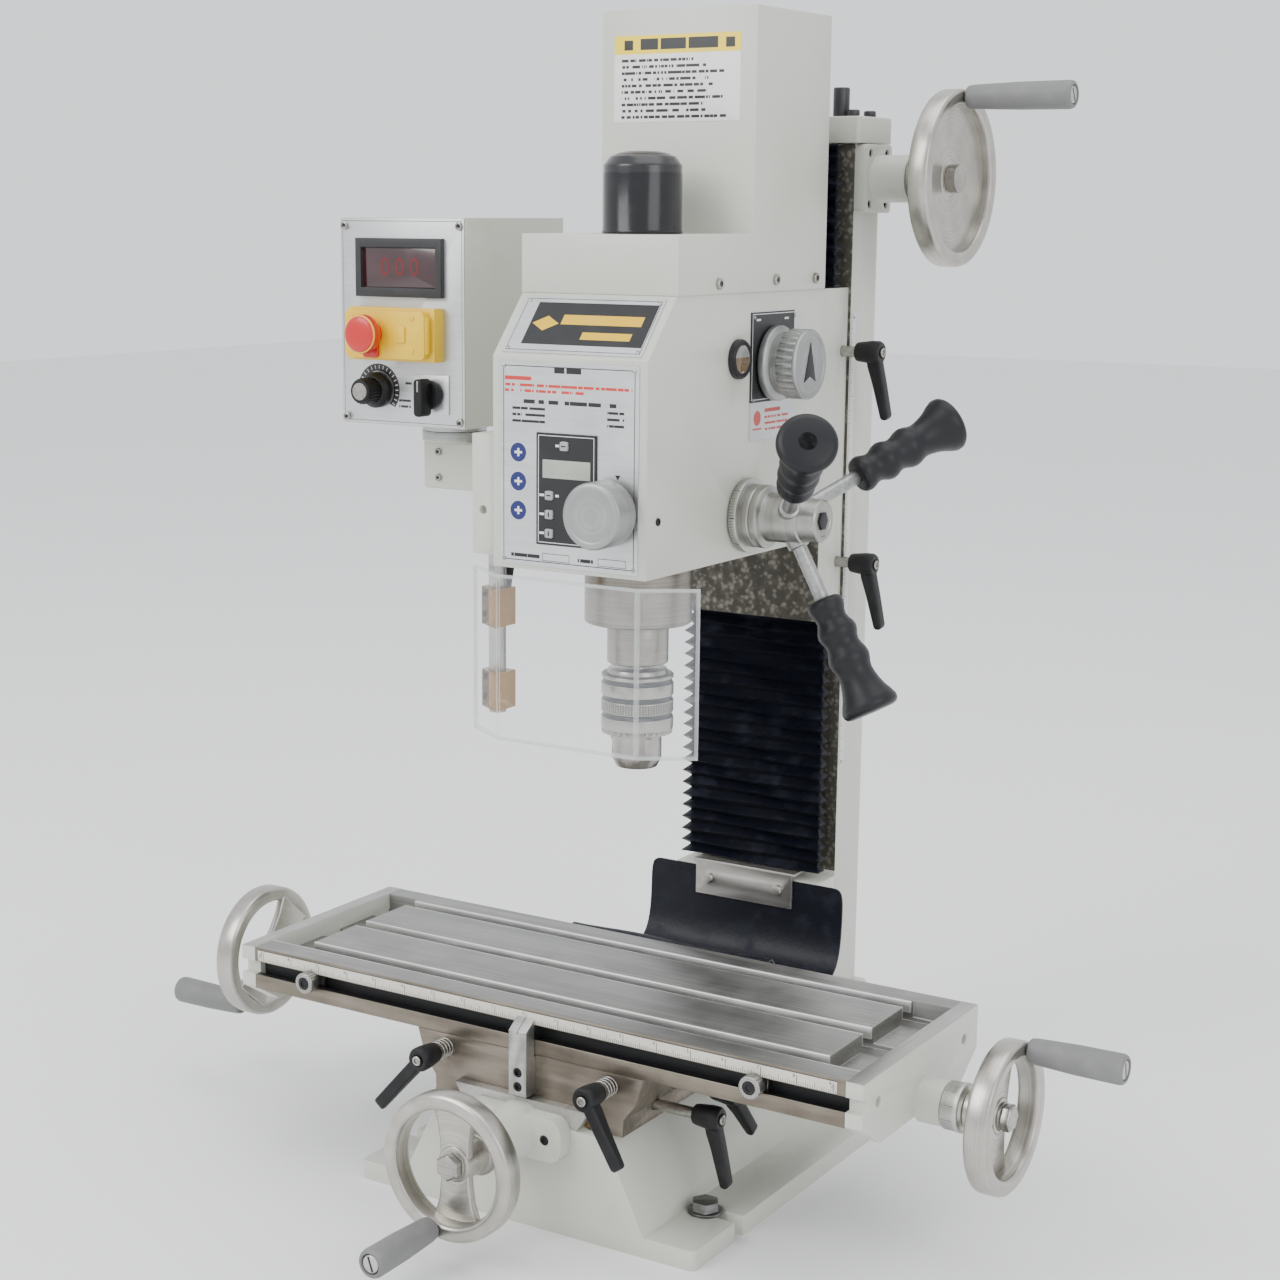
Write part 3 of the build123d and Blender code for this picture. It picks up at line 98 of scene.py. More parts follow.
class Surface:
    """A Principled material whose inputs take wires, colours or numbers."""

    def __init__(self, name, **constants):
        self.material = bpy.data.materials.new(name)
        self.material.use_nodes = True
        self.tree = self.material.node_tree
        self.shader = self.tree.nodes["Principled BSDF"]
        for key, value in constants.items():
            self.shader.inputs[key.replace("_", " ")].default_value = value
        parts = self.node("SeparateXYZ")
        self.coordinates = self.node("TexCoord").outputs["Object"]
        self.tree.links.new(self.coordinates, parts.inputs[0])
        self.x, self.y, self.z = [Wire(self, socket) for socket in parts.outputs]

    def node(self, kind, **settings):
        made = self.tree.nodes.new("ShaderNode" + kind)
        for key, value in settings.items():
            setattr(made, key, value)
        return made

    def feed(self, socket, value):
        if isinstance(value, Wire):
            self.tree.links.new(value.socket, socket)
        elif isinstance(value, tuple):
            socket.default_value = (*value, 1) if len(socket.default_value) == 4 else value
        else:
            socket.default_value = value

    def math(self, operation, *values):
        made = self.node("Math", operation=operation)
        for socket, value in zip(made.inputs, values):
            self.feed(socket, value)
        return Wire(self, made.outputs[0])

    def texture(self, kind, scale, output, stretch=(1, 1, 1), at=None, **inputs):
        made = self.node(kind)
        inputs["Scale"] = scale
        for key, value in inputs.items():
            made.inputs[key].default_value = value
        if at is None:
            mapping = self.node("Mapping")
            mapping.inputs["Scale"].default_value = stretch
            self.tree.links.new(self.coordinates, mapping.inputs[0])
            self.tree.links.new(mapping.outputs[0], made.inputs["Vector"])
        else:
            joined = self.node("CombineXYZ")
            for socket, value in zip(joined.inputs, at):
                self.feed(socket, value)
            self.tree.links.new(joined.outputs[0], made.inputs["Vector"])
        return Wire(self, made.outputs[output])

    def noise(self, scale, detail=3.0, **more):
        return self.texture("TexNoise", scale, "Fac", Detail=detail, **more)

    def cells(self, scale, **more):
        return self.texture("TexVoronoi", scale, "Distance", **more)

    def ramp(self, wire, low, high):
        """0 below low, 1 above high, and smooth between them."""
        made = self.node("MapRange", interpolation_type="SMOOTHSTEP")
        for socket, value in zip(made.inputs, (wire, low, high, 0.0, 1.0)):
            self.feed(socket, value)
        return Wire(self, made.outputs[0])

    def tint(self, share, first, second):
        made = self.node("Mix", data_type="RGBA")
        for index, value in ((0, share), (6, first), (7, second)):
            self.feed(made.inputs[index], value)
        return Wire(self, made.outputs[2])

    def level(self, share, first, second):
        return share * (second - first) + first

    def within(self, wire, low, high):
        return (wire > low) * (wire < high)

    def about(self, axis, centre):
        """Wires along an axis through centre, and across it in two directions."""
        wires = [self.x - centre[0], self.y - centre[1], self.z - centre[2]]
        return wires.pop("XYZ".index(axis)), *wires

    def zone(self, mask, first, second):
        """The second look where the mask is 1, and the first where it is 0."""
        numbers = [self.level(mask, a, b) for a, b in zip(first[1:], second[1:])]
        return (self.tint(mask, first[0], second[0]), *numbers)

    def wear(self, look):
        """Sets a look: its colour, roughness, metal share and height in metres."""
        colour, rough, metal, height = look
        self.feed(self.shader.inputs["Base Color"], colour)
        self.feed(self.shader.inputs["Roughness"], rough)
        self.feed(self.shader.inputs["Metallic"], metal)
        if isinstance(height, Wire):
            bump = self.node("Bump")
            bump.inputs["Strength"].default_value = 1.0
            bump.inputs["Distance"].default_value = 1.0
            self.feed(bump.inputs["Height"], height)
            self.tree.links.new(bump.outputs[0], self.shader.inputs["Normal"])
        return self.material


def apart(across, up):
    """The distance from the point where both wires are 0."""
    return (across * across + up * up).math("SQRT")


def enamel(name, weight=0.2, rough=0.3):
    return Surface(name, Coat_Weight=weight, Coat_Roughness=rough)


def plain(name, look, *tones, **constants):
    """A material that shows one look all over."""
    surface = Surface(name, **constants)
    return surface.wear(look(surface, *tones))


def paint(s, tone=(0.60, 0.61, 0.54), dark=(0.51, 0.52, 0.455)):
    cloud, speck, peel = s.noise(9), s.noise(240, 5.0), s.noise(900, 2.0)
    grime = s.ramp(s.noise(26, 6.0), 0.56, 0.8)
    colour = s.tint(grime * 0.35, s.tint(cloud * 0.6 + speck * 0.3, dark, tone),
        (0.42, 0.40, 0.34))
    return colour, 0.33 + speck * 0.16, 0.0, peel * 0.00005 + s.noise(130) * 0.00012


def ground(s, stretch=(12, 700, 700), tone=(0.50, 0.49, 0.47), dark=(0.36, 0.35, 0.33)):
    """Iron or steel with fine grinding lines; the lines run where stretch is least."""
    lines, cloud = s.noise(1, 2.0, stretch=stretch), s.noise(34, 5.0)
    colour = s.tint(s.ramp(lines * 0.5 + cloud * 0.5, 0.3, 0.7), dark, tone)
    return colour, 0.3 + cloud * 0.2, 0.9, lines * 0.00004


def scraped(s, tone=(0.17, 0.16, 0.135), dark=(0.07, 0.065, 0.052)):
    flake = s.cells(260, Randomness=1.0)
    blot = s.ramp(s.noise(150, 4.0), 0.38, 0.62)
    colour = s.tint(s.ramp(flake * 1.3 + blot * 0.5, 0.3, 1.0), tone, dark)
    return colour, 0.42 + blot * 0.25, 0.75, flake * -0.00025


def turned_metal(s, axis, centre, tone=(0.48, 0.465, 0.43), dark=(0.28, 0.27, 0.25), rough=0.22,
        rings=2600):
    """Machined metal whose tool marks run round an axis through centre."""
    length, across, up = s.about(axis, centre)
    mark = s.noise(1, 3.0, at=(apart(across, up) * rings, length * rings, 0.0))
    cloud = s.noise(60, 4.0)
    colour = s.tint(s.ramp(mark * 0.6 + cloud * 0.4, 0.3, 0.72), dark, tone)
    return colour, rough + cloud * 0.16 + mark * 0.06, 1.0, mark * 0.00003


def plastic(s, tone=(0.022, 0.022, 0.025), pale=(0.05, 0.05, 0.052), rough=0.42, grain=0.00005):
    speck, cloud = s.noise(2200, 2.0), s.noise(70, 5.0)
    dust = s.ramp(cloud, 0.45, 0.8)
    return s.tint(dust * 0.5, tone, pale), rough + speck * 0.12 + dust * 0.1, 0.0, speck * grain


# ---- Base ----
# The iron base casting: painted all over except for the two dovetail ways, which
# are ground.  A softened piece is the CAD solid with its edges broken, as a
# casting's are, and it stands for the node that it was copied from.

def clear():
    if bpy.context.object and bpy.context.object.mode != "OBJECT":
        bpy.ops.object.mode_set(mode="OBJECT")
    bpy.ops.object.select_all(action="DESELECT")


def pick(piece):
    clear()
    piece.select_set(True)
    bpy.context.view_layer.objects.active = piece


def edit_all():
    bpy.ops.object.mode_set(mode="EDIT")
    bpy.ops.mesh.select_all(action="SELECT")


def modify(piece, kind, **settings):
    """Applies one modifier to a piece."""
    pick(piece)
    made = piece.modifiers.new("shape", kind)
    for key, value in settings.items():
        setattr(made, key, value)
    bpy.ops.object.modifier_apply(modifier="shape")


def smooth(piece, degrees=32):
    pick(piece)
    bpy.ops.object.shade_smooth_by_angle(angle=math.radians(degrees))


def soften(piece, width, segments=2, degrees=30):
    modify(piece, "BEVEL", width=width, segments=segments, limit_method="ANGLE",
        angle_limit=math.radians(degrees), use_clamp_overlap=True, harden_normals=False)
    smooth(piece, degrees + 8)


def dress(piece, material, body):
    """Gives a finished piece its material and the body it rides on."""
    piece.data.materials.clear()
    piece.data.materials.append(material)
    if body:
        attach(piece, body)
    return piece


def softened(node, body, width, material, degrees=30):
    source = frame["nodes"][node]
    piece = source.copy()
    piece.data = source.data.copy()
    piece.parent = None
    piece.name = node + "_shape"
    bpy.context.collection.objects.link(piece)
    for key in list(piece.keys()):
        del piece[key]
    pick(piece)
    edit_all()
    bpy.ops.mesh.remove_doubles(threshold=0.00002)
    bpy.ops.mesh.dissolve_limited(angle_limit=math.radians(0.6))
    bpy.ops.object.mode_set(mode="OBJECT")
    soften(piece, width, degrees=degrees)
    dress(piece, material, body)
    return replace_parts(piece, node)


skin = enamel("base enamel")
WAY_HALF, WAY_STOP = 0.0556, 0.08
way_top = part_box("saddle_casting")[0].z + 0.0002
ways = (skin.z > way_top) * (skin.x.math("ABSOLUTE") < WAY_HALF) * (skin.y
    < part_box("base_casting")[1].y - WAY_STOP)
base_paint = skin.wear(skin.zone(ways, paint(skin), ground(skin, (700, 12, 700))))
softened("base_casting", "stand", 0.0012, base_paint)

bolt_zinc = plain("dark zinc", turned_metal, "Z", (0, 0, 0), (0.26, 0.26, 0.25),
    (0.13, 0.13, 0.13), 0.3, 300)
softened("hold_down_bolts", "stand", 0.0005, bolt_zinc)


# ---- Column ----
# The column is painted but for its dovetail, which is scraped by hand.  A printed
# height scale runs down its right side, and a cap plate closes the top.

skin = enamel("column enamel")
column_low, column_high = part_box("column_casting")
DOVETAIL, FITTINGS = 0.0135, 0.0192
ways = (skin.y < column_low.y + DOVETAIL) * (skin.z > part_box("bellows_foot_bracket")[1].z - 0.002)
column_paint = skin.wear(skin.zone(ways, paint(skin), scraped(skin)))
softened("column_casting", "stand", 0.0014, column_paint)

skin = enamel("cap plate enamel")
fittings = skin.z > column_high.z + FITTINGS
cap_paint = skin.wear(skin.zone(fittings, paint(skin), plastic(skin)))
softened("column_top_plate", "stand", 0.001, cap_paint)

bracket_paint = plain("bracket enamel", paint, Coat_Weight=0.2, Coat_Roughness=0.3)
softened("screw_brackets", "stand", 0.001, bracket_paint)

AXES = {"+X": Matrix.Rotation(math.pi / 2, 4, "Y"), "-X": Matrix.Rotation(-math.pi / 2, 4, "Y"),
    "+Y": Matrix.Rotation(-math.pi / 2, 4, "X"), "-Y": Matrix.Rotation(math.pi / 2, 4, "X"),
    "+Z": Matrix.Identity(4), "-Z": Matrix.Rotation(math.pi, 4, "X")}


def settle(piece, place):
    """Puts a finished piece's place into its mesh, and its object at the origin."""
    clear()
    piece.data.transform(place @ piece.matrix_world)
    piece.matrix_world = Matrix.Identity(4)
    return piece


def close_mesh(weld=False):
    """Points the faces outward and leaves edit mode."""
    bpy.ops.mesh.select_all(action="SELECT")
    if weld:
        bpy.ops.mesh.remove_doubles(threshold=0.00001)
    bpy.ops.mesh.normals_make_consistent(inside=False)
    bpy.ops.object.mode_set(mode="OBJECT")


def lathe(name, stations, place, material, body, sides=56, closed=False, edge=0.0004,
        degrees=30):
    """A turned shape in mm: stations are (distance along local +Z, radius) pairs.

    A closed one is a ring whose last station meets its first.
    """
    clear()
    start, radius = stations[0]
    bpy.ops.mesh.primitive_circle_add(vertices=sides, radius=radius * MM,
        location=(0, 0, start * MM), fill_type="NOTHING" if closed else "NGON")
    piece = bpy.context.object
    piece.name = name
    edit_all()
    for (near, wide), (far, narrow) in zip(stations, stations[1:]):
        bpy.ops.mesh.extrude_region_move(TRANSFORM_OT_translate={"value": (0, 0,
            (far - near) * MM)})
        if narrow != wide:
            bpy.ops.transform.resize(value=(narrow / wide, narrow / wide, 1),
                center_override=(0, 0, far * MM))
    close_mesh(closed)
    if edge:
        soften(piece, edge, degrees=degrees)
    smooth(piece, 38)
    settle(piece, place)
    return dress(piece, material, body)


def slab(name, outline, thickness, place, material, body, edge=0.0004, segments=2):
    """A flat shape in mm with broken edges: the outline lies on local XY, and +Z is its depth."""
    clear()
    bpy.ops.mesh.primitive_circle_add(vertices=len(outline), fill_type="NGON")
    piece = bpy.context.object
    piece.name = name
    for vertex, (x, y) in zip(piece.data.vertices, outline):
        vertex.co = (x * MM, y * MM, 0)
    edit_all()
    bpy.ops.mesh.extrude_region_move(TRANSFORM_OT_translate={"value": (0, 0, thickness * MM)})
    close_mesh()
    if edge:
        soften(piece, edge, segments)
    settle(piece, place)
    return dress(piece, material, body)


def rounded(x0, x1, y0, y1, radius=1.0, steps=4):
    """The outline of a rectangle with round corners."""
    points = []
    for cx, cy, turn in ((x1 - radius, y1 - radius, 0), (x0 + radius, y1 - radius, 90),
            (x0 + radius, y0 + radius, 180), (x1 - radius, y0 + radius, 270)):
        for step in range(steps + 1):
            angle = math.radians(turn + 90 * step / steps)
            points.append((cx + radius * math.cos(angle), cy + radius * math.sin(angle)))
    return points


def at(x, y, z, axis="+Z", turn=0.0):
    """A place in mm: local +Z runs along the axis, after a turn in degrees about it."""
    return Matrix.Translation(Vector((x, y, z))
        * MM) @ AXES[axis] @ Matrix.Rotation(math.radians(turn), 4, "Z")


black_steel = plain("black oxide", plastic, (0.012, 0.012, 0.014), (0.035, 0.034, 0.032), 0.3,
    0.00002, Specular_IOR_Level=0.25)
bright = Surface("bright steel")
bright_steel = bright.wear(turned_metal(bright, "Z", (0, 0, 0), (0.48, 0.465, 0.43),
    (0.28, 0.27, 0.25), 0.2, 500))


def socket_screw(name, x, y, z, axis, radius, height, body, material=black_steel, turn=0.0):
    """A socket cap screw's head and six-sided recess, whose floor is a black plug: painted shade.
    """
    place = at(x, y, z, axis, turn)
    hole = radius * 0.56
    rim = [(0, radius * 0.96), (0, radius), (height * 0.85, radius), (height, radius * 0.88),
        (height, hole), (height * 0.45, hole * 0.98)]
    head = lathe(name, rim, place, material, body, 24, edge=0)
    socket_floor_painted_shade = lathe(name + "_key", [(height * 0.46, hole * 0.8), (height * 0.5, hole * 0.78)], place,
        black_steel, body, 6, edge=0)
    return head, socket_floor_painted_shade


def rivet(name, radius, rise, tip, place, body):
    lathe(name, [(0, radius), (0.5, radius - 0.1), (rise, tip)], place, bright_steel, body, 16,
        edge=0)


for x in (-27, 27):
    socket_screw("bracket_screw", x, -205.5, 70, "-Y", 3.2, 1.5, "stand")
for y in (-15, 12):
    for z in (-18, 18):
        socket_screw("bearing_screw", 66.2, 168 + y, 698 + z, "+X", 3.0, 3.5, "stand")
for x in (-30, 30):
    socket_screw("foot_screw", x, 112, 164, "-Y", 4.4, 3.4, "stand", bright_steel)

strip = Surface("height scale")
tick = ((strip.z / 0.002).math("FRACT") < 0.14) * (strip.y < column_low.y + 0.0165)
long_tick = ((strip.z / 0.010).math("FRACT") < 0.035) * (strip.y < column_low.y + 0.0185)
print_ink = tick.math("MAXIMUM", long_tick)
scale_print = strip.wear(strip.zone(print_ink,
    paint(strip, (0.68, 0.68, 0.66), (0.58, 0.58, 0.56)), plastic(strip, (0.05, 0.05, 0.05))))
slab("height_scale", rounded(-3.6, 3.6, 258, 602, 2.5), 0.35,
    Matrix.Translation((0.062, 0.1503, 0))
    @ Matrix(((0, 0, 1, 0), (1, 0, 0, 0), (0, 1, 0, 0), (0, 0, 0, 1))), scale_print, "stand",
    0.0001)
for z in (262, 598):
    rivet("scale_rivet", 1.3, 0.8, 0.6, at(62.3, 150.3, z, "+X"), "stand")


# ---- Bellows and apron ----
# Pleated rubber cloth keeps chips off the column's ways, above and below the head,
# and a rubber sheet hangs from the foot bracket down to the back of the table.

cloth = Surface("bellows rubber", Specular_IOR_Level=0.3)
weave = (cloth.x * 2600).math("SINE") * (cloth.z * 2600).math("SINE")
scuff = cloth.ramp(cloth.noise(60, 6.0), 0.5, 0.75)
rubber = cloth.wear((cloth.tint(scuff, (0.003, 0.004, 0.009), (0.009, 0.011, 0.020)),
    0.42 + scuff * 0.25, 0.0, weave * 0.00004 + cloth.noise(400) * 0.0002))
lead = Surface("bellows clamp strip")
strip_steel = lead.wear(ground(lead, (12, 300, 300), (0.58, 0.56, 0.52), (0.44, 0.42, 0.39)))
softened("bellows_foot_bracket", "stand", 0.0003, strip_steel)


def pleated(node, folds, depth, seed):
    """A bellows: a grid folded back and forth up the column, with its side walls."""
    low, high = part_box(node)
    clear()
    across, rows = 26, folds * 8
    bpy.ops.mesh.primitive_grid_add(x_subdivisions=across, y_subdivisions=rows, size=1)
    piece = bpy.context.object
    piece.name = node + "_pleats"
    inset = 0.0012
    left, right, front, back = low.x + inset, high.x - inset, low.y + inset, high.y - inset
    for vertex in piece.data.vertices:
        along, up = vertex.co.x + 0.5, vertex.co.y + 0.5
        fold = abs(math.fmod(up * folds, 1.0) - 0.5) * 2
        pull = depth * (1 - fold ** 1.3)
        sag = 0.0009 * math.sin(seed + 7 * along + 40 * up) * math.sin(math.pi * along)
        path = along * across
        if path < 2:
            x, y = left + pull * 0.7, back + (front + pull - back) * path / 2
        elif path > across - 2:
            x, y = right - pull * 0.7, back + (front + pull - back) * (across - path) / 2
        else:
            share = (path - 2) / (across - 4)
            x, y = left + pull * 0.7 + (right - left - pull * 1.4) * share, front + pull
        vertex.co = (x, y, low.z + inset + (high.z - low.z - 2 * inset) * up + sag)
    modify(piece, "SOLIDIFY", thickness=0.0008, offset=0.0)
    smooth(piece, 50)
    dress(piece, rubber, None)
    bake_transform(piece)
    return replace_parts(piece, node)


pleated("lower_bellows", 21, 0.0068, 0.4)
pleated("upper_bellows", 11, 0.0068, 2.2)


def apron():
    """The sheet's line in mm from the bracket down to the table, rounded by subdivision."""
    line = [(115.8, 171.5), (115.6, 150), (114.2, 128), (108, 112), (96, 104.5), (74, 101.5),
        (48, 101.5), (28, 105), (15.5, 116), (10.5, 132), (7, 144), (1.5, 148.2), (-4.5, 146),
        (-8.4, 139.5), (-9.3, 131), (-9.4, 118)]
    clear()
    bpy.ops.mesh.primitive_grid_add(x_subdivisions=18, y_subdivisions=len(line) - 1, size=1)
    piece = bpy.context.object
    piece.name = "rear_apron_sheet"
    for vertex in piece.data.vertices:
        row = round((vertex.co.y + 0.5) * (len(line) - 1))
        y, z = line[row]
        x = vertex.co.x * 168
        ripple = 0.7 * math.sin(x / 17) * math.sin(row / 2.1)
        vertex.co = (x * MM, (y + ripple * 0.4) * MM, (z + ripple) * MM)
    modify(piece, "SUBSURF", levels=2, render_levels=2)
    modify(piece, "SOLIDIFY", thickness=0.0016, offset=0.0)
    smooth(piece, 60)
    dress(piece, rubber, None)
    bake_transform(piece)
    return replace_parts(piece, "rear_apron")


apron()


# ---- Saddle ----
# The saddle is left unpainted and shows brownish grinding.  Its bronze nuts and
# gibs are hidden; the index block on its front is bright steel with two screws.

saddle_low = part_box("saddle_casting")[0]
brown_iron = plain("saddle iron", ground, (16, 500, 120), (0.30, 0.26, 0.215), (0.15, 0.13, 0.105))
softened("saddle_casting", "saddle", 0.0007, brown_iron)

fitting = Surface("saddle fittings")
block_steel = turned_metal(fitting, "Z", (0, 0, 0), (0.55, 0.55, 0.53), (0.42, 0.42, 0.40), 0.3,
    200)
bronze = turned_metal(fitting, "X", (0, 0, 0), (0.55, 0.36, 0.15), (0.38, 0.24, 0.09), 0.35, 600)
zero_line = fitting.within(fitting.x, -0.0003, 0.0003) * (fitting.z > 0.136)
index_look = fitting.zone(zero_line, block_steel, plastic(fitting))
fitting_metal = fitting.wear(fitting.zone(fitting.y < saddle_low.y, bronze, index_look))
softened("saddle_fittings", "saddle", 0.0004, fitting_metal)
for z in (99, 109):
    socket_screw("index_screw", 0, -196, z, "-Y", 3.3, 2.6, "saddle")

# ---- Table ----
# Three T-slots run along the ground top.  A printed inch rule, a slot with two
# knurled travel stops and a brown ground strip make up its front edge.

table_low, table_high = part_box("table_casting")
middle_y = (table_low.y + table_high.y) / 2
top = Surface("table iron", Anisotropic=0.4)
SLOT_PITCH, SLOT_LIP, LIP_DEPTH = 0.061, (0.0058, 0.0074), 0.0079
# The lips of the three T-slots get a near-white steel: a painted highlight where the slots' edges
# catch the light.
slot_lip_painted_highlight = 0.0
for pitch in (-SLOT_PITCH, 0.0, SLOT_PITCH):
    reach = (top.y - (middle_y + pitch)).math("ABSOLUTE")
    slot_lip_painted_highlight = top.within(reach, *SLOT_LIP) + slot_lip_painted_highlight
front_face = top.y < table_low.y + 0.0008
# The inside of the front slot is painted near-black: painted shade in the recess.
front_slot_painted_shade = top.within(top.y, table_low.y + 0.001, table_low.y + 0.0115) * top.within(top.z,
    0.1265, 0.1445)
grey = ground(top, (14, 600, 600), (0.36, 0.355, 0.34), (0.24, 0.235, 0.225))
painted_highlight_steel = ground(top, (14, 600, 600), (0.80, 0.80, 0.78), (0.68, 0.68, 0.66))
brown = ground(top, (16, 500, 120), (0.27, 0.235, 0.19), (0.14, 0.12, 0.095))
table_look = top.zone(slot_lip_painted_highlight.math("MINIMUM", 1.0) * (top.z > table_high.z - LIP_DEPTH), grey,
    painted_highlight_steel)
table_look = top.zone(front_slot_painted_shade, top.zone(front_face, table_look, brown),
    plastic(top, (0.006, 0.006, 0.007), (0.012, 0.012, 0.012)))
table_iron = top.wear(table_look)
softened("table_casting", "table", 0.0005, table_iron)

skin = enamel("end bracket enamel")
bracket_top = skin.z > table_high.z - 0.0003
end_paint = skin.wear(skin.zone(bracket_top, paint(skin), ground(skin, (600, 14, 600))))
softened("end_brackets", "table", 0.001, end_paint)
for side in (-1, 1):
    axis = "+X" if side > 0 else "-X"
    for y in (-166, -34):
        socket_screw("end_screw", side * 243.4, y, 133, axis, 3.3, 2.5, "table")

INCH, RULE_FACE = 25.4, -188.3
rule = Surface("inch rule")
along = rule.x + 9.5 * INCH * MM
rise = rule.z - (table_high.z - 0.0096)


def rule_ticks(step, height, width=0.00032):
    phase = ((along + width / 2) / (step * INCH * MM)).math("FRACT")
    return (phase < width / (step * INCH * MM)) * (rise < height)


marks = rule_ticks(0.0625, 0.0022)
for step, height in ((0.25, 0.0032), (0.5, 0.0042)):
    marks = marks.math("MAXIMUM", rule_ticks(step, height))
inch_phase = ((along - 0.5 * INCH * MM + 0.00015) / (INCH * MM)).math("FRACT")
marks = marks.math("MAXIMUM", (inch_phase < 0.018) * (rise < 0.0066))
marks = marks.math("MAXIMUM", rule.z > table_high.z - 0.0018)
rule_print = rule.wear(rule.zone(marks, paint(rule, (0.66, 0.64, 0.56), (0.56, 0.54, 0.46)),
    plastic(rule, (0.03, 0.03, 0.03), (0.05, 0.05, 0.05))))
FRONT_AT = Matrix.Translation((0, table_low.y, 0)) @ AXES["-Y"]
slab("inch_rule", rounded(-234, 231, 141.3, 149.6, 0.6), 0.3, FRONT_AT, rule_print, "table",
    0.0001)
for x in (-231.5, 228.5):
    rivet("rule_rivet", 1.2, 0.7, 0.6, at(x, RULE_FACE, 145.4, "-Y"), "table")


def figures(name, labels, size, place, material, body):
    """Printed numbers as one flat mesh: labels are (text, x, y) in mm on local XY."""
    parts = []
    for text, x, y in labels:
        clear()
        bpy.ops.object.text_add(location=(x * MM, y * MM, 0))
        label = bpy.context.object
        label.data.body, label.data.size = text, size * MM
        label.data.align_x, label.data.align_y, label.data.resolution_u = "CENTER", "CENTER", 3
        bpy.ops.object.convert(target="MESH")
        parts.append(bpy.context.object)
    pick(parts[0])
    for part in parts:
        part.select_set(True)
    bpy.ops.object.join()
    piece = bpy.context.object
    piece.name = name
    settle(piece, place)
    return dress(piece, material, body)


def lift(height):
    return Matrix.Translation((0, 0, height * MM))


inches = [(str(abs(k)), k * INCH - 2.0, 147.2) for k in range(-9, 10)]
figures("rule_figures", inches, 3.4, FRONT_AT @ lift(0.34), black_steel, "table")

# The knurl on the travel stops is a checker of two tones of one steel: the darker squares are
# painted shade on the knurl's facets.
knurl = Surface("knurled collar")
around = knurl.x * 2200 + knurl.z * 2200
knurl_painted_shade_steel = knurl.wear(knurl.zone((around.math("SINE")
    * ((knurl.x - knurl.z) * 2200).math("SINE")) > 0.0,
    turned_metal(knurl, "Y", (0, 0, 0), (0.5, 0.49, 0.47), (0.4, 0.39, 0.37), 0.3, 500),
    turned_metal(knurl, "Y", (0, 0, 0), (0.3, 0.29, 0.28), (0.2, 0.2, 0.19), 0.4, 500)))
for x in (-185, 174):
    collar = lathe("travel_stop", [(0, 7.2), (0.8, 7.6), (8, 7.6), (8.7, 7.0), (8.7, 4.6),
        (7.4, 4.5)], at(x, -188, 135.5, "-Y"), knurl_painted_shade_steel, "table", 40, edge=0.0002)
    socket_screw("stop_screw", x, -195.4, 135.5, "-Y", 4.2, 1.4, "table")
    slab("stop_nut", rounded(x - 6, x + 6, 129.4, 141.6, 0.6), 3.6, at(0, -178.2, 0, "-Y"),
        bright_steel, "table")
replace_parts(collar, "travel_stops")

# ---- Handwheels and leadscrews ----
# Each wheel has a polished rim, a broad dished web, a hexagon nut and a grey grip
# that turns on its pin.  The screws' threads are a raised pattern in the material.


def thread(name, axis, centre, lead=0.0025):
    metal = Surface(name)
    length, across, up = metal.about(axis, centre)
    turn = across.math("ARCTAN2", up) / (2 * math.pi)
    flank = ((length / lead + turn).math("FRACT") - 0.5).math("ABSOLUTE")
    colour, rough, share, height = turned_metal(metal, axis, centre, (0.5, 0.49, 0.47),
        (0.3, 0.29, 0.27), 0.25, 900)
    # The thread's roots, where the bump dips, are tinted near-black: painted shade in the grooves.
    return metal.wear((metal.tint(metal.ramp(flank, 0.1, 0.3), colour, (0.12, 0.11, 0.09)), rough,
        share, metal.ramp(flank, 0.12, 0.38) * -0.0012))


def clothe(node, material):
    """Gives a CAD node that is kept as it is its material."""
    frame["nodes"][node].data.materials.clear()
    frame["nodes"][node].data.materials.append(material)


y_centre, x_centre, z_centre = pivot("y_crank"), pivot("x_crank"), pivot("z_crank")
screw_back, screw_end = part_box("y_leadscrew")[1].y / MM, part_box("x_leadscrew")[1].x / MM
y_bar = lathe("y_screw_bar", [(y_centre.y / MM - 3.5, 6), (y_centre.y / MM - 2.5, 7.9),
    (screw_back - 1, 7.9), (screw_back, 6.8)], at(0, 0, y_centre.z / MM, "+Y"),
    thread("y screw steel", "Y", y_centre), "y_screw", 32)
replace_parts(y_bar, "y_leadscrew")
x_bar = lathe("x_screw_bar", [(-screw_end + 3, 6), (-screw_end + 4, 7.9), (screw_end - 4, 7.9),
    (screw_end - 3, 6)], at(0, x_centre.y / MM, x_centre.z / MM, "+X"),
    thread("x screw steel", "X", x_centre), "x_screw", 32)
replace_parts(x_bar, "x_leadscrew")
clothe("z_leadscrew", thread("z screw steel", "Z", pivot("z_screw_spin"), 0.004))
cross = Surface("cross shaft steel")
softened("z_cross_shaft", "z_crank", 0.0004, cross.wear(turned_metal(cross, "X", z_centre)))

grip_grey = plain("grip plastic", plastic, (0.17, 0.17, 0.168), (0.24, 0.24, 0.235), 0.45, 0.00006,
    Specular_IOR_Level=0.4)
screw_face = plain("slotted screw", turned_metal, "Z", (0, 0, 0), (0.6, 0.6, 0.58),
    (0.45, 0.45, 0.43), 0.3, 200)


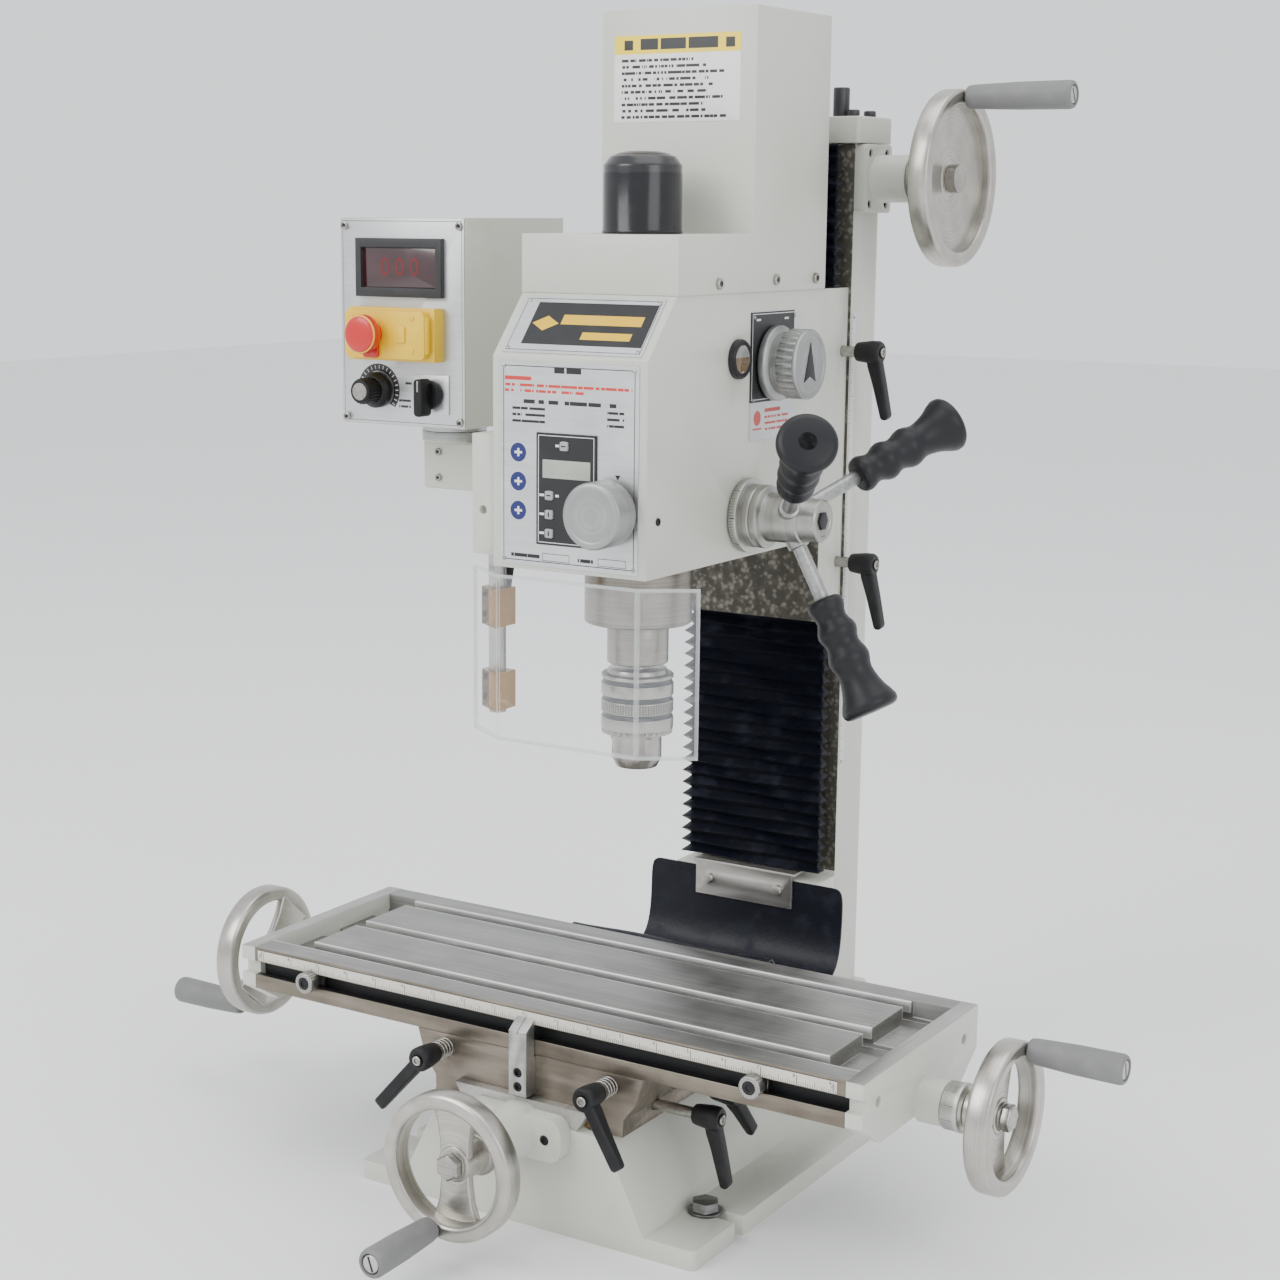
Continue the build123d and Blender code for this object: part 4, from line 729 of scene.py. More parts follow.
def dial_print(name, axis, centre, count, start, end):
    """Bright metal with a ring of dark graduations between start and end along the axis."""
    ring = Surface(name)
    length, across, up = ring.about(axis, centre)
    turn = across.math("ARCTAN2", up) / (2 * math.pi) + 0.5
    fine = ((turn * count).math("FRACT") < 0.2) * ring.within(length, start,
        start + (end - start) * 0.55)
    long = ((turn * (count / 10)).math("FRACT") < 0.035) * ring.within(length, start, end)
    metal = turned_metal(ring, axis, centre, (0.58, 0.575, 0.55), (0.45, 0.445, 0.42), 0.3, 300)
    return ring.wear(ring.zone(fine.math("MAXIMUM", long), metal,
        plastic(ring, (0.03, 0.03, 0.03))))


def handwheel(tag, body, grip_body, centre, axis, radius, grip_turn, grip_length, hub, dial,
        solid=False):
    """A wheel whose local +Z points away from the machine; numbers are in mm."""
    place = Matrix.Translation(centre) @ AXES[axis]
    world = axis[1]
    metal = Surface(tag + " aluminium")
    polished = metal.wear(turned_metal(metal, world, centre, (0.56, 0.54, 0.50),
        (0.36, 0.345, 0.31), 0.2, 1500))
    r = radius
    rim = lathe(tag + "_rim", [(-8, r - 2.4), (-6.8, r - 0.6), (-5, r), (5, r), (6.8, r - 0.6),
        (8, r - 2.4), (8, r - 8.6), (7, r - 10.3), (4.5, r - 11), (-4.5, r - 11), (-7, r - 10.3),
        (-8, r - 8.6), (-8, r - 2.4)], place, polished, body, 96, closed=True, edge=0.0003)
    if solid:
        lathe(tag + "_web", [(-12, 24), (-7.5, r - 12), (-7, r - 10), (0.6, r - 10),
            (-0.4, r - 15), (-3, 26), (-3, 14), (-2.2, 13), (-2.2, 9), (-6, 8.5), (-12, 8.5),
            (-12, 24)], place, polished, body, 96, closed=True, edge=0.0005)
    else:
        half = [(r - 10, 18), (26, 13.2), (14, 11.6), (0, 11.2), (-14, 11.6), (-26, 13.2),
            (10 - r, 18)]
        outline = half + [(x, -y) for x, y in reversed(half)]
        web = place @ Matrix.Rotation(math.radians(grip_turn + 16), 4, "Z") @ lift(-9)
        slab(tag + "_web", outline, 6, web, polished, body, 0.0016, segments=3)
    lathe(tag + "_hub", [(-hub, 11.6), (1.4 - hub, 12.9), (-9, 12.9), (-6, 12.6), (-2.4, 12),
        (-2, 11)], place, polished, body, 48, edge=0.0003)
    lathe(tag + "_washer", [(-2, 9.6), (-0.4, 9.6)], place, bright_steel, body, 40, edge=0.0002)
    lathe(tag + "_nut", [(-0.4, 8.4), (0.4, 9.2), (5, 9.2), (5.9, 8.2), (5.9, 5)], place,
        bright_steel, body, 6, edge=0.0003)
    start, end = dial
    graduated = dial_print(tag + " dial", world, centre, 100,
        *sorted(s * MM * (-1 if axis[0] == "-" else 1) for s in (start + 1, start + 9)))
    lathe(tag + "_dial", [(start, 15.2), (start + 0.6, 16), (end - 4, 16), (end - 3, 16.4),
        (end, 16.4)], place, graduated, body, 72, edge=0.0002)
    lathe(tag + "_collar", [(end + 0.1, 14.6), (end + 1.2, 12.4), (-hub, 12.2)], place, polished,
        body, 48, edge=0.0002)
    pin = place @ Matrix.Rotation(math.radians(grip_turn), 4,
        "Z") @ Matrix.Translation(((r - 5.5) * MM, 0, 0))
    tip = 8 + grip_length
    lathe(tag + "_pin", [(5, 4), (tip - 4.2, 4), (tip - 4.2, 6.3), (tip - 1.6, 6.3),
        (tip - 0.8, 5.6)], pin, screw_face, body, 32, edge=0.0002)
    # The screw's slot is a thin black bar laid on the pin's head: painted shade in the slot.
    slab(tag + "_pin_slot_painted_shade", [(-5.2, -0.8), (5.2, -0.8), (5.2, 0.8), (-5.2, 0.8)], 0.25,
        pin @ lift(tip - 0.95) @ Matrix.Rotation(0.6, 4, "Z"), black_steel, body, edge=0.0001)
    shell = [(8.4, 4.1), (8.4, 7.2), (9.4, 8), (13, 8.5), (8 + grip_length * 0.5, 9.7),
        (tip - 3.4, 10), (tip - 1.4, 9.5), (tip - 0.3, 8.3), (tip - 0.3, 7), (tip - 3.9, 6.8),
        (tip - 3.9, 4.1), (8.4, 4.1)]
    grip = lathe(tag + "_grip_shell", shell, pin, grip_grey, grip_body, 48, closed=True,
        edge=0.0003)
    return rim, grip


rim, grip = handwheel("y_wheel", "y_screw", "y_handle", y_centre, "-Y", 50, -105, 64, 25,
    (-41.5, -27.5))
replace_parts(rim, "y_handwheel"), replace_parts(grip, "y_grip")
rim, grip = handwheel("x_right_wheel", "x_screw", "x_handle_right", x_centre, "+X", 50, 158, 64,
    25, (-38.5, -26.5))
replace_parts(rim, "x_handwheels"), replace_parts(grip, "x_grip_right")
x_left = Vector((-x_centre.x, x_centre.y, x_centre.z))
rim, grip = handwheel("x_left_wheel", "x_screw", "x_handle_left", x_left, "-X", 50, 205, 64, 25,
    (-38.5, -26.5))
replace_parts(grip, "x_grip_left")
rim, grip = handwheel("z_wheel", "z_crank", "z_handle", z_centre, "+X", 62.5, 177, 80, 16,
    (-30.5, -17), solid=True)
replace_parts(rim, "z_handwheel"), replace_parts(grip, "z_grip")

# ---- Lock levers ----
# Black die-cast levers, each on a steel stud, with a screw in the hub's middle.  The
# two that lock the table stand out on coil springs.

lever_black = plain("lever casting", plastic, (0.008, 0.008, 0.009), (0.028, 0.028, 0.028), 0.38,
    0.00012, Specular_IOR_Level=0.3)


def coil(name, radius, wire, start, end, turns, place, body):
    """A spring: a small circle screwed round local Z, with its ends closed."""
    clear()
    bpy.ops.mesh.primitive_circle_add(vertices=8, radius=wire * MM,
        location=(radius * MM, 0, (start + wire) * MM), rotation=(math.pi / 2, 0, 0))
    piece = bpy.context.object
    piece.name = name
    settle(piece, Matrix.Identity(4))
    steps = int(20 * turns)
    modify(piece, "SCREW", angle=math.radians(360 * turns),
        screw_offset=(end - start - 2 * wire) * MM, steps=steps, render_steps=steps)
    edit_all()
    bpy.ops.mesh.fill_holes(sides=12)
    close_mesh()
    smooth(piece, 60)
    settle(piece, place)
    return dress(piece, bright_steel, body)


def clamp_lever(node, joint, outward, arm, stud, reach=50.0, spring=False, depth=9.0):
    body = joints[joint]["child"]
    out = Vector(outward).normalized()
    way = (Vector(arm) - out * Vector(arm).dot(out)).normalized()
    across = out.cross(way)
    place = Matrix.Translation(pivot(joint)) @ Matrix((way, across, out)).transposed().to_4x4()
    hub = lathe(node + "_hub", [(stud, 6.6), (stud + 1.5, 7.1), (stud + 12, 8.4),
        (stud + 17.5, 8.4), (stud + 19.6, 7.2), (stud + 19.6, 4.2), (stud + 18.6, 4.1)], place,
        lever_black, body, 36, edge=0.0004)
    socket_part = [(stud + 18.6, 3.4), (stud + 20.8, 3.4), (stud + 21.2, 2.9), (stud + 21.2, 1.9),
        (stud + 20, 1.8)]
    lathe(node + "_screw", socket_part, place, bright_steel, body, 24, edge=0.0001)
    lathe(node + "_stud", [(-depth, 3.4), (0.6 - depth, 3.9), (stud + 1, 3.9)], place,
        bright_steel, body, 24, edge=0)
    tip = reach - 0.4
    side = [(3, stud + 8.4), (10, stud + 9), (reach * 0.45, stud + 12.4), (tip - 2, stud + 17.8),
        (tip, stud + 19), (tip, stud + 23), (tip - 2.6, stud + 24.4), (reach * 0.45, stud + 21.2),
        (10, stud + 19.3), (3, stud + 18.8)]
    sideways = place @ Matrix.Translation((0, 0.0044, 0)) @ Matrix.Rotation(math.pi / 2, 4, "X")
    slab(node + "_arm", side, 8.8, sideways, lever_black, body, 0.0015, segments=3)
    if spring:
        coil(node + "_spring", 6.2, 0.65, 0.4, stud - 0.3, 4, place, body)
    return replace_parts(hub, node)


clamp_lever("x_lock_left", "x_lock_left_turn", (0, -1, 0), (-0.64, 0, -0.77), 15, spring=True)
clamp_lever("x_lock_right", "x_lock_right_turn", (0, -1, 0), (0.6, 0, -0.8), 15, spring=True)
clamp_lever("y_lock_front", "y_lock_front_turn", (1, 0, 0), (0, 0.12, -0.99), 26)
clamp_lever("y_lock_rear", "y_lock_rear_turn", (1, 0, 0), (0, 0.5, -0.866), 14, reach=38)
clamp_lever("z_lock_upper", "z_lock_upper_turn", (1, 0, 0), (0, 0.15, -0.99), 12, depth=6.5)
clamp_lever("z_lock_lower", "z_lock_lower_turn", (1, 0, 0), (0, 0.15, -0.99), 12, depth=6.5)
clamp_lever("quill_lock", "quill_lock_turn", (-1, 0, 0), (0, 0.1, -0.995), 4, reach=44)


# ---- Head and covers ----
# The gear housing is a painted casting on a carriage whose front is scraped and whose
# sides are painted.  Sheet covers close it, and a glossy cap covers the drawbar.

head_paint = plain("head enamel", paint, Coat_Weight=0.25, Coat_Roughness=0.25)
softened("head_casting", "head", 0.0018, head_paint)

skin = enamel("carriage iron", 0.1)
carriage_side = skin.x.math("ABSOLUTE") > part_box("head_slide")[1].x - 0.0007
softened("head_slide", "head", 0.0008,
    skin.wear(skin.zone(carriage_side, scraped(skin), paint(skin))))

SPINDLE = pivot("spindle_spin")
skin = enamel("cover enamel", 0.25, 0.25)
from_spindle = apart(skin.x - SPINDLE.x, skin.y - SPINDLE.y)
CAP_RADIUS, CAP_LOW = 0.0272, 0.6593
cap_zone = (from_spindle < CAP_RADIUS) * (skin.z > CAP_LOW)
cover_paint = skin.wear(skin.zone(cap_zone, paint(skin),
    plastic(skin, (0.008, 0.008, 0.010), (0.02, 0.02, 0.02), 0.12)))
softened("head_covers", "head", 0.0014, cover_paint)
glossy_black = plain("glossy cap", plastic, (0.006, 0.006, 0.008), (0.014, 0.014, 0.016), 0.12,
    0.00001, Specular_IOR_Level=0.45)
cap_rise = [(659.2, 27.2), (660.4, 27.4), (661.6, 26.7), (698, 26.7), (703, 25.9), (707, 24.2),
    (710, 21.2), (712, 16.8), (713.2, 11), (713.5, 4)]
lathe("drawbar_cap", cap_rise, at(0, SPINDLE.y / MM, 0), glossy_black, "head", 64, edge=0)
for y, z in ((-51.4, 627), (28.6, 628), (88, 628)):
    for side, axis in ((61, "+X"), (-61, "-X")):
        socket_screw("cover_screw", side, y, z, axis, 3.7, 2.3, "head", bright_steel, 15)
socket_screw("housing_plug", 60, -124.9, 476.2, "+X", 2.6, 1.0, "head", black_steel, 20)


# ---- Printed plates ----
# Aluminium plates and labels.  Their wording is replaced by plain bars and fields, and
# each is held at its corners by small rivets.

def print_border(s, edges, line=0.0006, inset=0.0028):
    """1 on a thin line just inside a plate; edges are wires for the distance from each edge."""
    near = edges[0]
    for edge in edges[1:]:
        near = near.math("MINIMUM", edge)
    return s.within(near, inset, inset + line)


def words(s, across, up, left, right, low, height, grain=420, gap=0.44):
    """1 on a plain bar broken into lengths like words, in mm, in place of lettering."""
    letters = s.noise(1, 1.0, at=(across * grain, low * 3.7, 0.0)) > gap
    return bar(s, across, up, left, right, low, height) * letters


def bar(s, across, up, left, right, low, height):
    """1 on a plain bar, in mm."""
    return s.within(across, left * MM, right * MM) * s.within(up, low * MM, (low + height) * MM)


def joined(masks):
    total = masks[0]
    for mask in masks[1:]:
        total = total.math("MAXIMUM", mask)
    return total


card = Surface("cover label")
rows = joined([words(card, card.x, card.z, -45, right, 736.5 + 4.2 * k, 1.9) for k,
    right in enumerate((38, 22, 20, 36, 24, 28, 24, 36, 22, 12))])
white = paint(card, (0.82, 0.82, 0.80), (0.76, 0.76, 0.74))
label_look = card.zone(card.z > 0.7795, white, paint(card, (0.95, 0.72, 0.02), (0.90, 0.66, 0.02)))
heavy = joined([bar(card, card.x, card.z, left, right, 782.2, 7.4) for left,
    right in ((-30, -16), (-14, 6), (8, 31))]
    + [bar(card, card.x, card.z, left, right, 782.2, 6.6) for left,
    right in ((-43, -36), (37, 44))])
soot = plastic(card, (0.02, 0.02, 0.02), (0.05, 0.05, 0.05))
label_print = card.wear(card.zone(joined([rows, heavy]), label_look, soot))
slab("cover_label", rounded(-51, 48.6, 734, 792, 1.2), 0.25, at(0, -4, 0, "-Y"), label_print,
    "head", 0.00008)

plate = Surface("printed plates")
silver = ground(plate, (14, 420, 420), (0.66, 0.67, 0.67), (0.58, 0.59, 0.59))
black = plastic(plate, (0.008, 0.008, 0.010), (0.02, 0.02, 0.022), 0.35)
x, y, z = plate.x, plate.y, plate.z
PLATE_HALF, PLATE_LOW, PLATE_HIGH = 0.054, 0.442, 0.577
frame_line = print_border(plate, [x + PLATE_HALF, PLATE_HALF - x, z - PLATE_LOW, PLATE_HIGH - z])


def front_bar(*span):
    return bar(plate, x, z, *span)


def front_words(*span):
    return words(plate, x, z, *span)


front = (y < -0.1392) * (z < 0.578)
discs = joined([apart(x + 0.0392, z - rise) < 0.0063 for rise in (0.517, 0.4977, 0.4783)])
disc_mark = joined([front_bar(-42.2, -36.2, low, 1.6) for low in (516.2, 496.9, 477.5)]
    + [front_bar(-40.0, -38.4, low, 5.4) for low in (514.3, 495.0, 475.6)])
dark_rows = [front_bar(-11, -3, 570, 3.6), front_bar(-1.5, 10, 570, 3.6),
    front_words(-35, 37, 549.6, 2.6, 300)]
dark_rows += [front_words(left, right, low, 1.7, 500, 0.38) for low in (545.4, 541.2, 537.0)
    for left, right in ((-44, -18), (30, 43))]
field = [plate.within(z, 0.4459, 0.4511) * plate.within(x, left, right)
    - plate.within(z, 0.4463, 0.4507) * plate.within(x, left + 0.0004, right - 0.0004) for left,
    right in ((-0.0199, 0.0015), (0.0237, 0.0453))]
dark_rows += field + [front_words(left, right, 447.2, 2.4, 500, 0.3) for left,
    right in ((-45, -22), (8, 20))]
pointer = (((x - 0.0385).math("ABSOLUTE") * 1.6 + (0.5065 - z).math("ABSOLUTE")) < 0.0034) * (z
    < 0.5065)
red_rows = joined([front_bar(-50, -29, 564.6, 2.6), front_words(-50, 49, 560.6, 1.8, 480, 0.4),
    front_words(-50, 12, 556.9, 1.8, 480, 0.4)])
panel = plate.within(x, -0.0241, 0.0226) * plate.within(z, 0.4569, 0.5311) * front
panel_line = print_border(plate, [x + 0.024, 0.0225 - x, z - 0.457, 0.531 - z], 0.0005, 0.0014)
key_names = joined([front_bar(-21.5, -17.8, low, 1.6) for low in (489.2, 476.6, 464.0)]
    + [front_bar(-9, -6.2, 489.2, 1.6), front_bar(-9, -6, 522.2, 1.6)])
front_look = plate.zone(joined(dark_rows + [pointer, frame_line]), silver, black)
front_look = plate.zone(red_rows, front_look,
    plastic(plate, (0.55, 0.03, 0.02), (0.6, 0.08, 0.06)))
front_look = plate.zone(discs, front_look,
    plastic(plate, (0.008, 0.015, 0.12), (0.015, 0.025, 0.16)))
pale = paint(plate, (0.80, 0.80, 0.78), (0.72, 0.72, 0.70))
front_look = plate.zone(disc_mark, front_look, pale)
front_look = plate.zone(panel, front_look,
    plate.zone(joined([panel_line, key_names]), black, pale))

climb = ((y + 0.139) * 0.6585) + ((z - 0.580) * 0.7526)
slope_dark = bar(plate, x, climb, -42, 51, 10, 35)
slope_frame = print_border(plate, [x + PLATE_HALF, PLATE_HALF - x, climb - 0.003, 0.0502 - climb],
    0.0005, 0.002)
device = joined([((x + 0.030).math("ABSOLUTE") * 0.6 + (climb - 0.0275).math("ABSOLUTE")) < 0.0062,
    bar(plate, x, climb, -18, 44, 27, 8), bar(plate, x, climb, 2, 40, 15, 6)])
sloping_look = plate.zone(joined([slope_dark, slope_frame]), silver, black)
sloping_look = plate.zone(device * slope_dark, sloping_look,
    paint(plate, (0.80, 0.50, 0.01), (0.74, 0.44, 0.01)))

side = x > 0.0600
gear_dark = plate.within(z, 0.545, 0.6066) * (y < 0.0586)
gear_frame = print_border(plate, [y + 0.004, 0.063 - y, z - 0.545, 0.607 - z], 0.0005, 0.0016)
gear_marks = joined([bar(plate, y, z, 3, 9, 600.6, 1.4), bar(plate, y, z, 44, 50, 600.6, 1.4),
    gear_frame])
note = plate.within(z, 0.522, 0.543) * plate.within(y, -0.004, 0.057)
note_bars = joined([words(plate, y, z, 17, 52, low, 1.6, 480, 0.4) for low in (525, 529.2, 533.4)]
    + [bar(plate, y, z, 17, 40, 537.6, 2.6), bar(plate, y, z, 0, 13, 526, 1.2),
    apart(y - 0.0065, z - 0.534) < 0.0052])
side_look = plate.zone(gear_dark, silver, plate.zone(gear_marks, black, pale))
side_look = plate.zone(note * note_bars, side_look,
    plastic(plate, (0.45, 0.06, 0.05), (0.5, 0.1, 0.1)))
ring_zone = apart(y + 0.0215, z - 0.576) < 0.0139
side_look = plate.zone(ring_zone, side_look, black)

plate_look = plate.zone(front, plate.zone(side, sloping_look, side_look), front_look)
plate_print = plate.wear(plate_look)
clothe("head_plates", plate_print)
for x, z in ((-50.6, 573.6), (50.6, 573.6), (-50.6, 445.4), (50.6, 445.4)):
    rivet("plate_rivet", 1.5, 0.8, 0.7, at(x, -139.8, z, "-Y"), "head")
SLOPE = Matrix(((1, 0, 0, 0), (0, 0.6585, -0.7526, -0.1215), (0, 0.7526, 0.6585, 0.600),
    (0, 0, 0, 1)))
for x in (-50.4, 50.4):
    for y in (-20, 20):
        rivet("slope_rivet", 1.5, 0.8, 0.7, SLOPE @ at(x, y, 0.8), "head")
for y, z in ((0, 603), (59, 603), (0, 547), (59, 547)):
    rivet("gear_plate_rivet", 1.4, 0.8, 0.6, at(60.8, y, z, "+X"), "head")

oil = Surface("sight glass oil", Coat_Weight=1.0, Coat_Roughness=0.05)
oil_line = oil.z > 0.5775
oil_look = oil.zone(oil_line, plastic(oil, (0.10, 0.055, 0.012), (0.16, 0.09, 0.02), 0.1),
    plastic(oil, (0.18, 0.18, 0.17), (0.25, 0.25, 0.24), 0.1))
lathe("sight_lens", [(0, 9.8), (0.6, 9.4), (1.3, 7.4), (1.6, 4)], at(63.9, -21.5, 576, "+X"),
    oil.wear(oil_look), "head", 40, edge=0)
lathe("sight_ring", [(0, 13.3), (3.4, 13.3), (4.6, 12.2), (4.6, 10.4), (3.9, 9.9), (0, 9.9),
    (0, 13.3)], at(60.1, -21.5, 576, "+X"), black_steel, "head", 48, closed=True, edge=0.0003)

glass = Surface("readout window", Coat_Weight=0.8, Coat_Roughness=0.08)
segment = joined([bar(glass, glass.x, glass.z, left, left + 3, 504.4, 0.5)
    for left in (-12, -7, -2, 3, 8)])
lcd = glass.wear(glass.zone(segment, paint(glass, (0.36, 0.40, 0.34), (0.31, 0.35, 0.29)),
    paint(glass, (0.25, 0.29, 0.24), (0.22, 0.26, 0.21))))
slab("readout_window", rounded(-18.9, 18.3, 501.5, 513.6, 0.6), 0.3, at(0, -141, 0, "-Y"), lcd,
    "head", 0.0001)

key_grey = plain("key rubber", plastic, (0.33, 0.34, 0.34), (0.44, 0.44, 0.44), 0.5, 0.00006)
for name, half_width, half_height in (("power", 1.8, 0.4), ("unit", 1.6, 0.4), ("up", 0.45, 1.6),
        ("down", 0.45, 1.6)):
    node = "readout_button_" + name
    low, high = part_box(node)
    x, z, half = (low.x + high.x) / 2 / MM, (low.z + high.z) / 2 / MM, (high.x - low.x) / 2 / MM
    body = joints["button_%s_press" % name]["child"]
    key = slab(node + "_key", rounded(x - half, x + half, z - half, z + half, 1.1),
        (high.y - low.y) / MM - 0.15, at(0, high.y / MM, 0, "-Y"), key_grey, body, 0.0006,
        3)
    slab(node + "_mark", rounded(x - half_width, x + half_width, z - half_height, z + half_height,
        0.2), 0.12, at(0, low.y / MM + 0.15, 0, "-Y"), black_steel, body, 0.00003)
    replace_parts(key, node)


# ---- Motor and gears ----
# Inside the covers: a finned motor, its pinion, the sliding cluster and the gear on
# the sleeve that drives the spindle.

motor_low, motor_high = [corner.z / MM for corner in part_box("motor")]
motor_spot = pivot("rotor_spin")
fins = [(motor_low + 8, 39.8)]
for k in range(9):
    rise = motor_low + 20 + 11 * k
    fins += [(rise, 39.8), (rise + 0.6, 36.6), (rise + 5.4, 36.6), (rise + 6, 39.8)]
motor_skin = Surface("motor enamel")
motor_black = motor_skin.wear(plastic(motor_skin, (0.02, 0.02, 0.022), (0.06, 0.06, 0.06), 0.4,
    0.0002))
shell = lathe("motor_body", [(motor_low, 36)] + fins + [(motor_high - 12, 39.6),
    (motor_high, 29.6), (motor_high, 6.6), (motor_low, 6.6), (motor_low, 36)],
    at(0, motor_spot.y / MM, 0), motor_black, "head", 64, closed=True, edge=0.0002)
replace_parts(shell, "motor")
for node, joint, tone in (("motor_pinion", "rotor_spin", 0.52),
        ("cluster_gear", "cluster_spin", 0.48), ("spindle_gear", "sleeve_spin", 0.50)):
    metal = Surface(node + " steel")
    tooth_steel = metal.wear(turned_metal(metal, "Z", pivot(joint),
        (tone, tone - 0.01, tone - 0.03), (tone - 0.2, tone - 0.21, tone - 0.22), 0.25, 1200))
    clothe(node, tooth_steel)

# ---- Quill, spindle and chuck ----
# The quill and the spindle nose are turned steel.  The chuck's sleeve has three grooves
# painted near-black as shade between knurled bands, whose valleys are painted darker as
# shade, and a crown of teeth for its key.

quill_steel = plain("quill steel", turned_metal, "Z", SPINDLE, (0.33, 0.305, 0.27),
    (0.18, 0.165, 0.14), 0.24, 1300)
softened("quill", "quill", 0.0003, quill_steel, 40)
spindle_steel = plain("spindle steel", turned_metal, "Z", SPINDLE, (0.36, 0.335, 0.30),
    (0.20, 0.185, 0.16), 0.2, 1600)
softened("spindle", "spindle", 0.0004, spindle_steel)
chuck_steel = plain("chuck body steel", turned_metal, "Z", SPINDLE, (0.42, 0.40, 0.365),
    (0.26, 0.245, 0.22), 0.18, 1800)
softened("chuck_body", "spindle", 0.0004, chuck_steel)
for k in (1, 2, 3):
    softened("chuck_jaw_%d" % k, "jaw_%d" % k, 0.0002, chuck_steel)

SMOOTH_BAND = (0.3315, 0.3385)
sleeve = Surface("chuck sleeve steel")
radius = apart(sleeve.x - SPINDLE.x, sleeve.y - SPINDLE.y)
angle = (sleeve.y - SPINDLE.y).math("ARCTAN2", sleeve.x - SPINDLE.x) * 40.0
diamond = (angle + sleeve.z * 2600).math("SINE") * (angle - sleeve.z * 2600).math("SINE")
GROOVE_RADIUS, TEETH_TOP = 0.0249, 0.320
# The grooves and the bore are painted near-black: painted shade in the recesses.
groove_painted_shade = (radius < GROOVE_RADIUS) * (sleeve.z > TEETH_TOP)
polished = turned_metal(sleeve, "Z", SPINDLE, (0.44, 0.425, 0.39), (0.28, 0.27, 0.245), 0.18, 1500)
# The knurl's valleys, where the bump dips, are tinted near-black: painted shade.
knurled = (sleeve.tint(sleeve.ramp(diamond, -0.1, 0.3), (0.12, 0.115, 0.105), (0.42, 0.40, 0.365)),
    0.3, 1.0, sleeve.ramp(diamond, -0.2, 0.5) * 0.00025)
sleeve_look = sleeve.zone(sleeve.within(sleeve.z, *SMOOTH_BAND), polished, knurled)
sleeve_look = sleeve.zone(groove_painted_shade, sleeve_look,
    plastic(sleeve, (0.006, 0.010, 0.013), (0.015, 0.02, 0.022), 0.3))
sleeve_metal = sleeve.wear(sleeve_look)
low, high = [corner.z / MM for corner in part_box("chuck_sleeve")]
profile = [(low, 21.8), (low + 3.4, 22.0), (low + 3.6, 25.0), (low + 4, 25.4)]
for groove_low in (low + 12, low + 24, low + 36):
    profile += [(groove_low, 25.4), (groove_low + 0.8, 24.2), (groove_low + 3.2, 24.2),
        (groove_low + 4, 25.4)]
profile += [(high - 1, 25.4), (high, 24.5), (high, 20.3), (low, 20.3), (low, 21.8)]
on_spindle = at(SPINDLE.x / MM, SPINDLE.y / MM, 0)
ring = lathe("chuck_ring", profile, on_spindle, sleeve_metal, "chuck_sleeve", 72, closed=True,
    edge=0.0002)


def toothed(count, tooth, shift=0.0):
    """An outline in mm with count teeth; a tooth is (share of its pitch, radius) pairs."""
    points = [(2 * math.pi * (k + share - shift) / count, reach) for k in range(count) for share,
        reach in tooth]
    return [(reach * math.cos(turn), reach * math.sin(turn)) for turn, reach in points]


teeth = toothed(30, ((0.12, 22.2), (0.32, 25.0), (0.62, 25.0), (0.82, 22.2)))
slab("chuck_teeth", teeth, 3.2, on_spindle @ lift(low + 0.4), chuck_steel, "chuck_sleeve", 0.0002,
    segments=1)
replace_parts(ring, "chuck_sleeve")


# ---- Quill feed ----
# A graduated flange, a turned hub and three steel levers with ribbed black grips.  A
# pinion on the same shaft meshes with the rack in the quill's back.

hub_spot = pivot("feed_turn")
hub_centre = (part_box("head_casting")[1].x, hub_spot.y, hub_spot.z)
hub_place = Matrix.Translation(hub_centre) @ AXES["+X"]
flange_metal = dial_print("feed dial", "X", hub_centre, 80, 0.0022, 0.0066)
flange = lathe("feed_flange", [(0.4, 24), (1.8, 25.7), (6.6, 25.9), (7, 25.4), (7, 22.2)],
    hub_place, flange_metal, "feed_handle", 80, edge=0.0003)
hub_metal = plain("feed hub metal", turned_metal, "X", hub_centre, (0.44, 0.435, 0.41),
    (0.30, 0.295, 0.275), 0.28, 700)
lathe("feed_barrel", [(6.8, 21.8), (13, 21.8), (13.6, 21.2), (14.4, 21.2), (15, 21.8),
    (19.4, 21.8), (20, 21), (21, 17.2), (26, 16.8), (40, 16.8), (47.4, 16.8), (48, 15), (60, 14.8),
    (61.6, 13.4), (61.6, 10.8), (60.6, 10.2)], hub_place, hub_metal, "feed_handle", 64,
    edge=0.0004)
lathe("feed_bolt", [(60.6, 6.4), (61.2, 6.8), (61.8, 6)], hub_place, black_steel, "feed_handle", 6,
    edge=0.0002)
lathe("feed_shaft", [(-102, 5.4), (-101, 5.9), (-35, 5.9), (-35, 9.4), (0.5, 9.4)], hub_place,
    hub_metal, "feed_handle", 40, edge=0.0003)
pinion = toothed(16, ((0.04, 7.0), (0.30, 8.9), (0.70, 8.9), (0.96, 7.0)), 0.5)
slab("feed_pinion", pinion, 22, hub_place @ lift(-82), hub_metal, "feed_handle", 0.0002,
    segments=1)

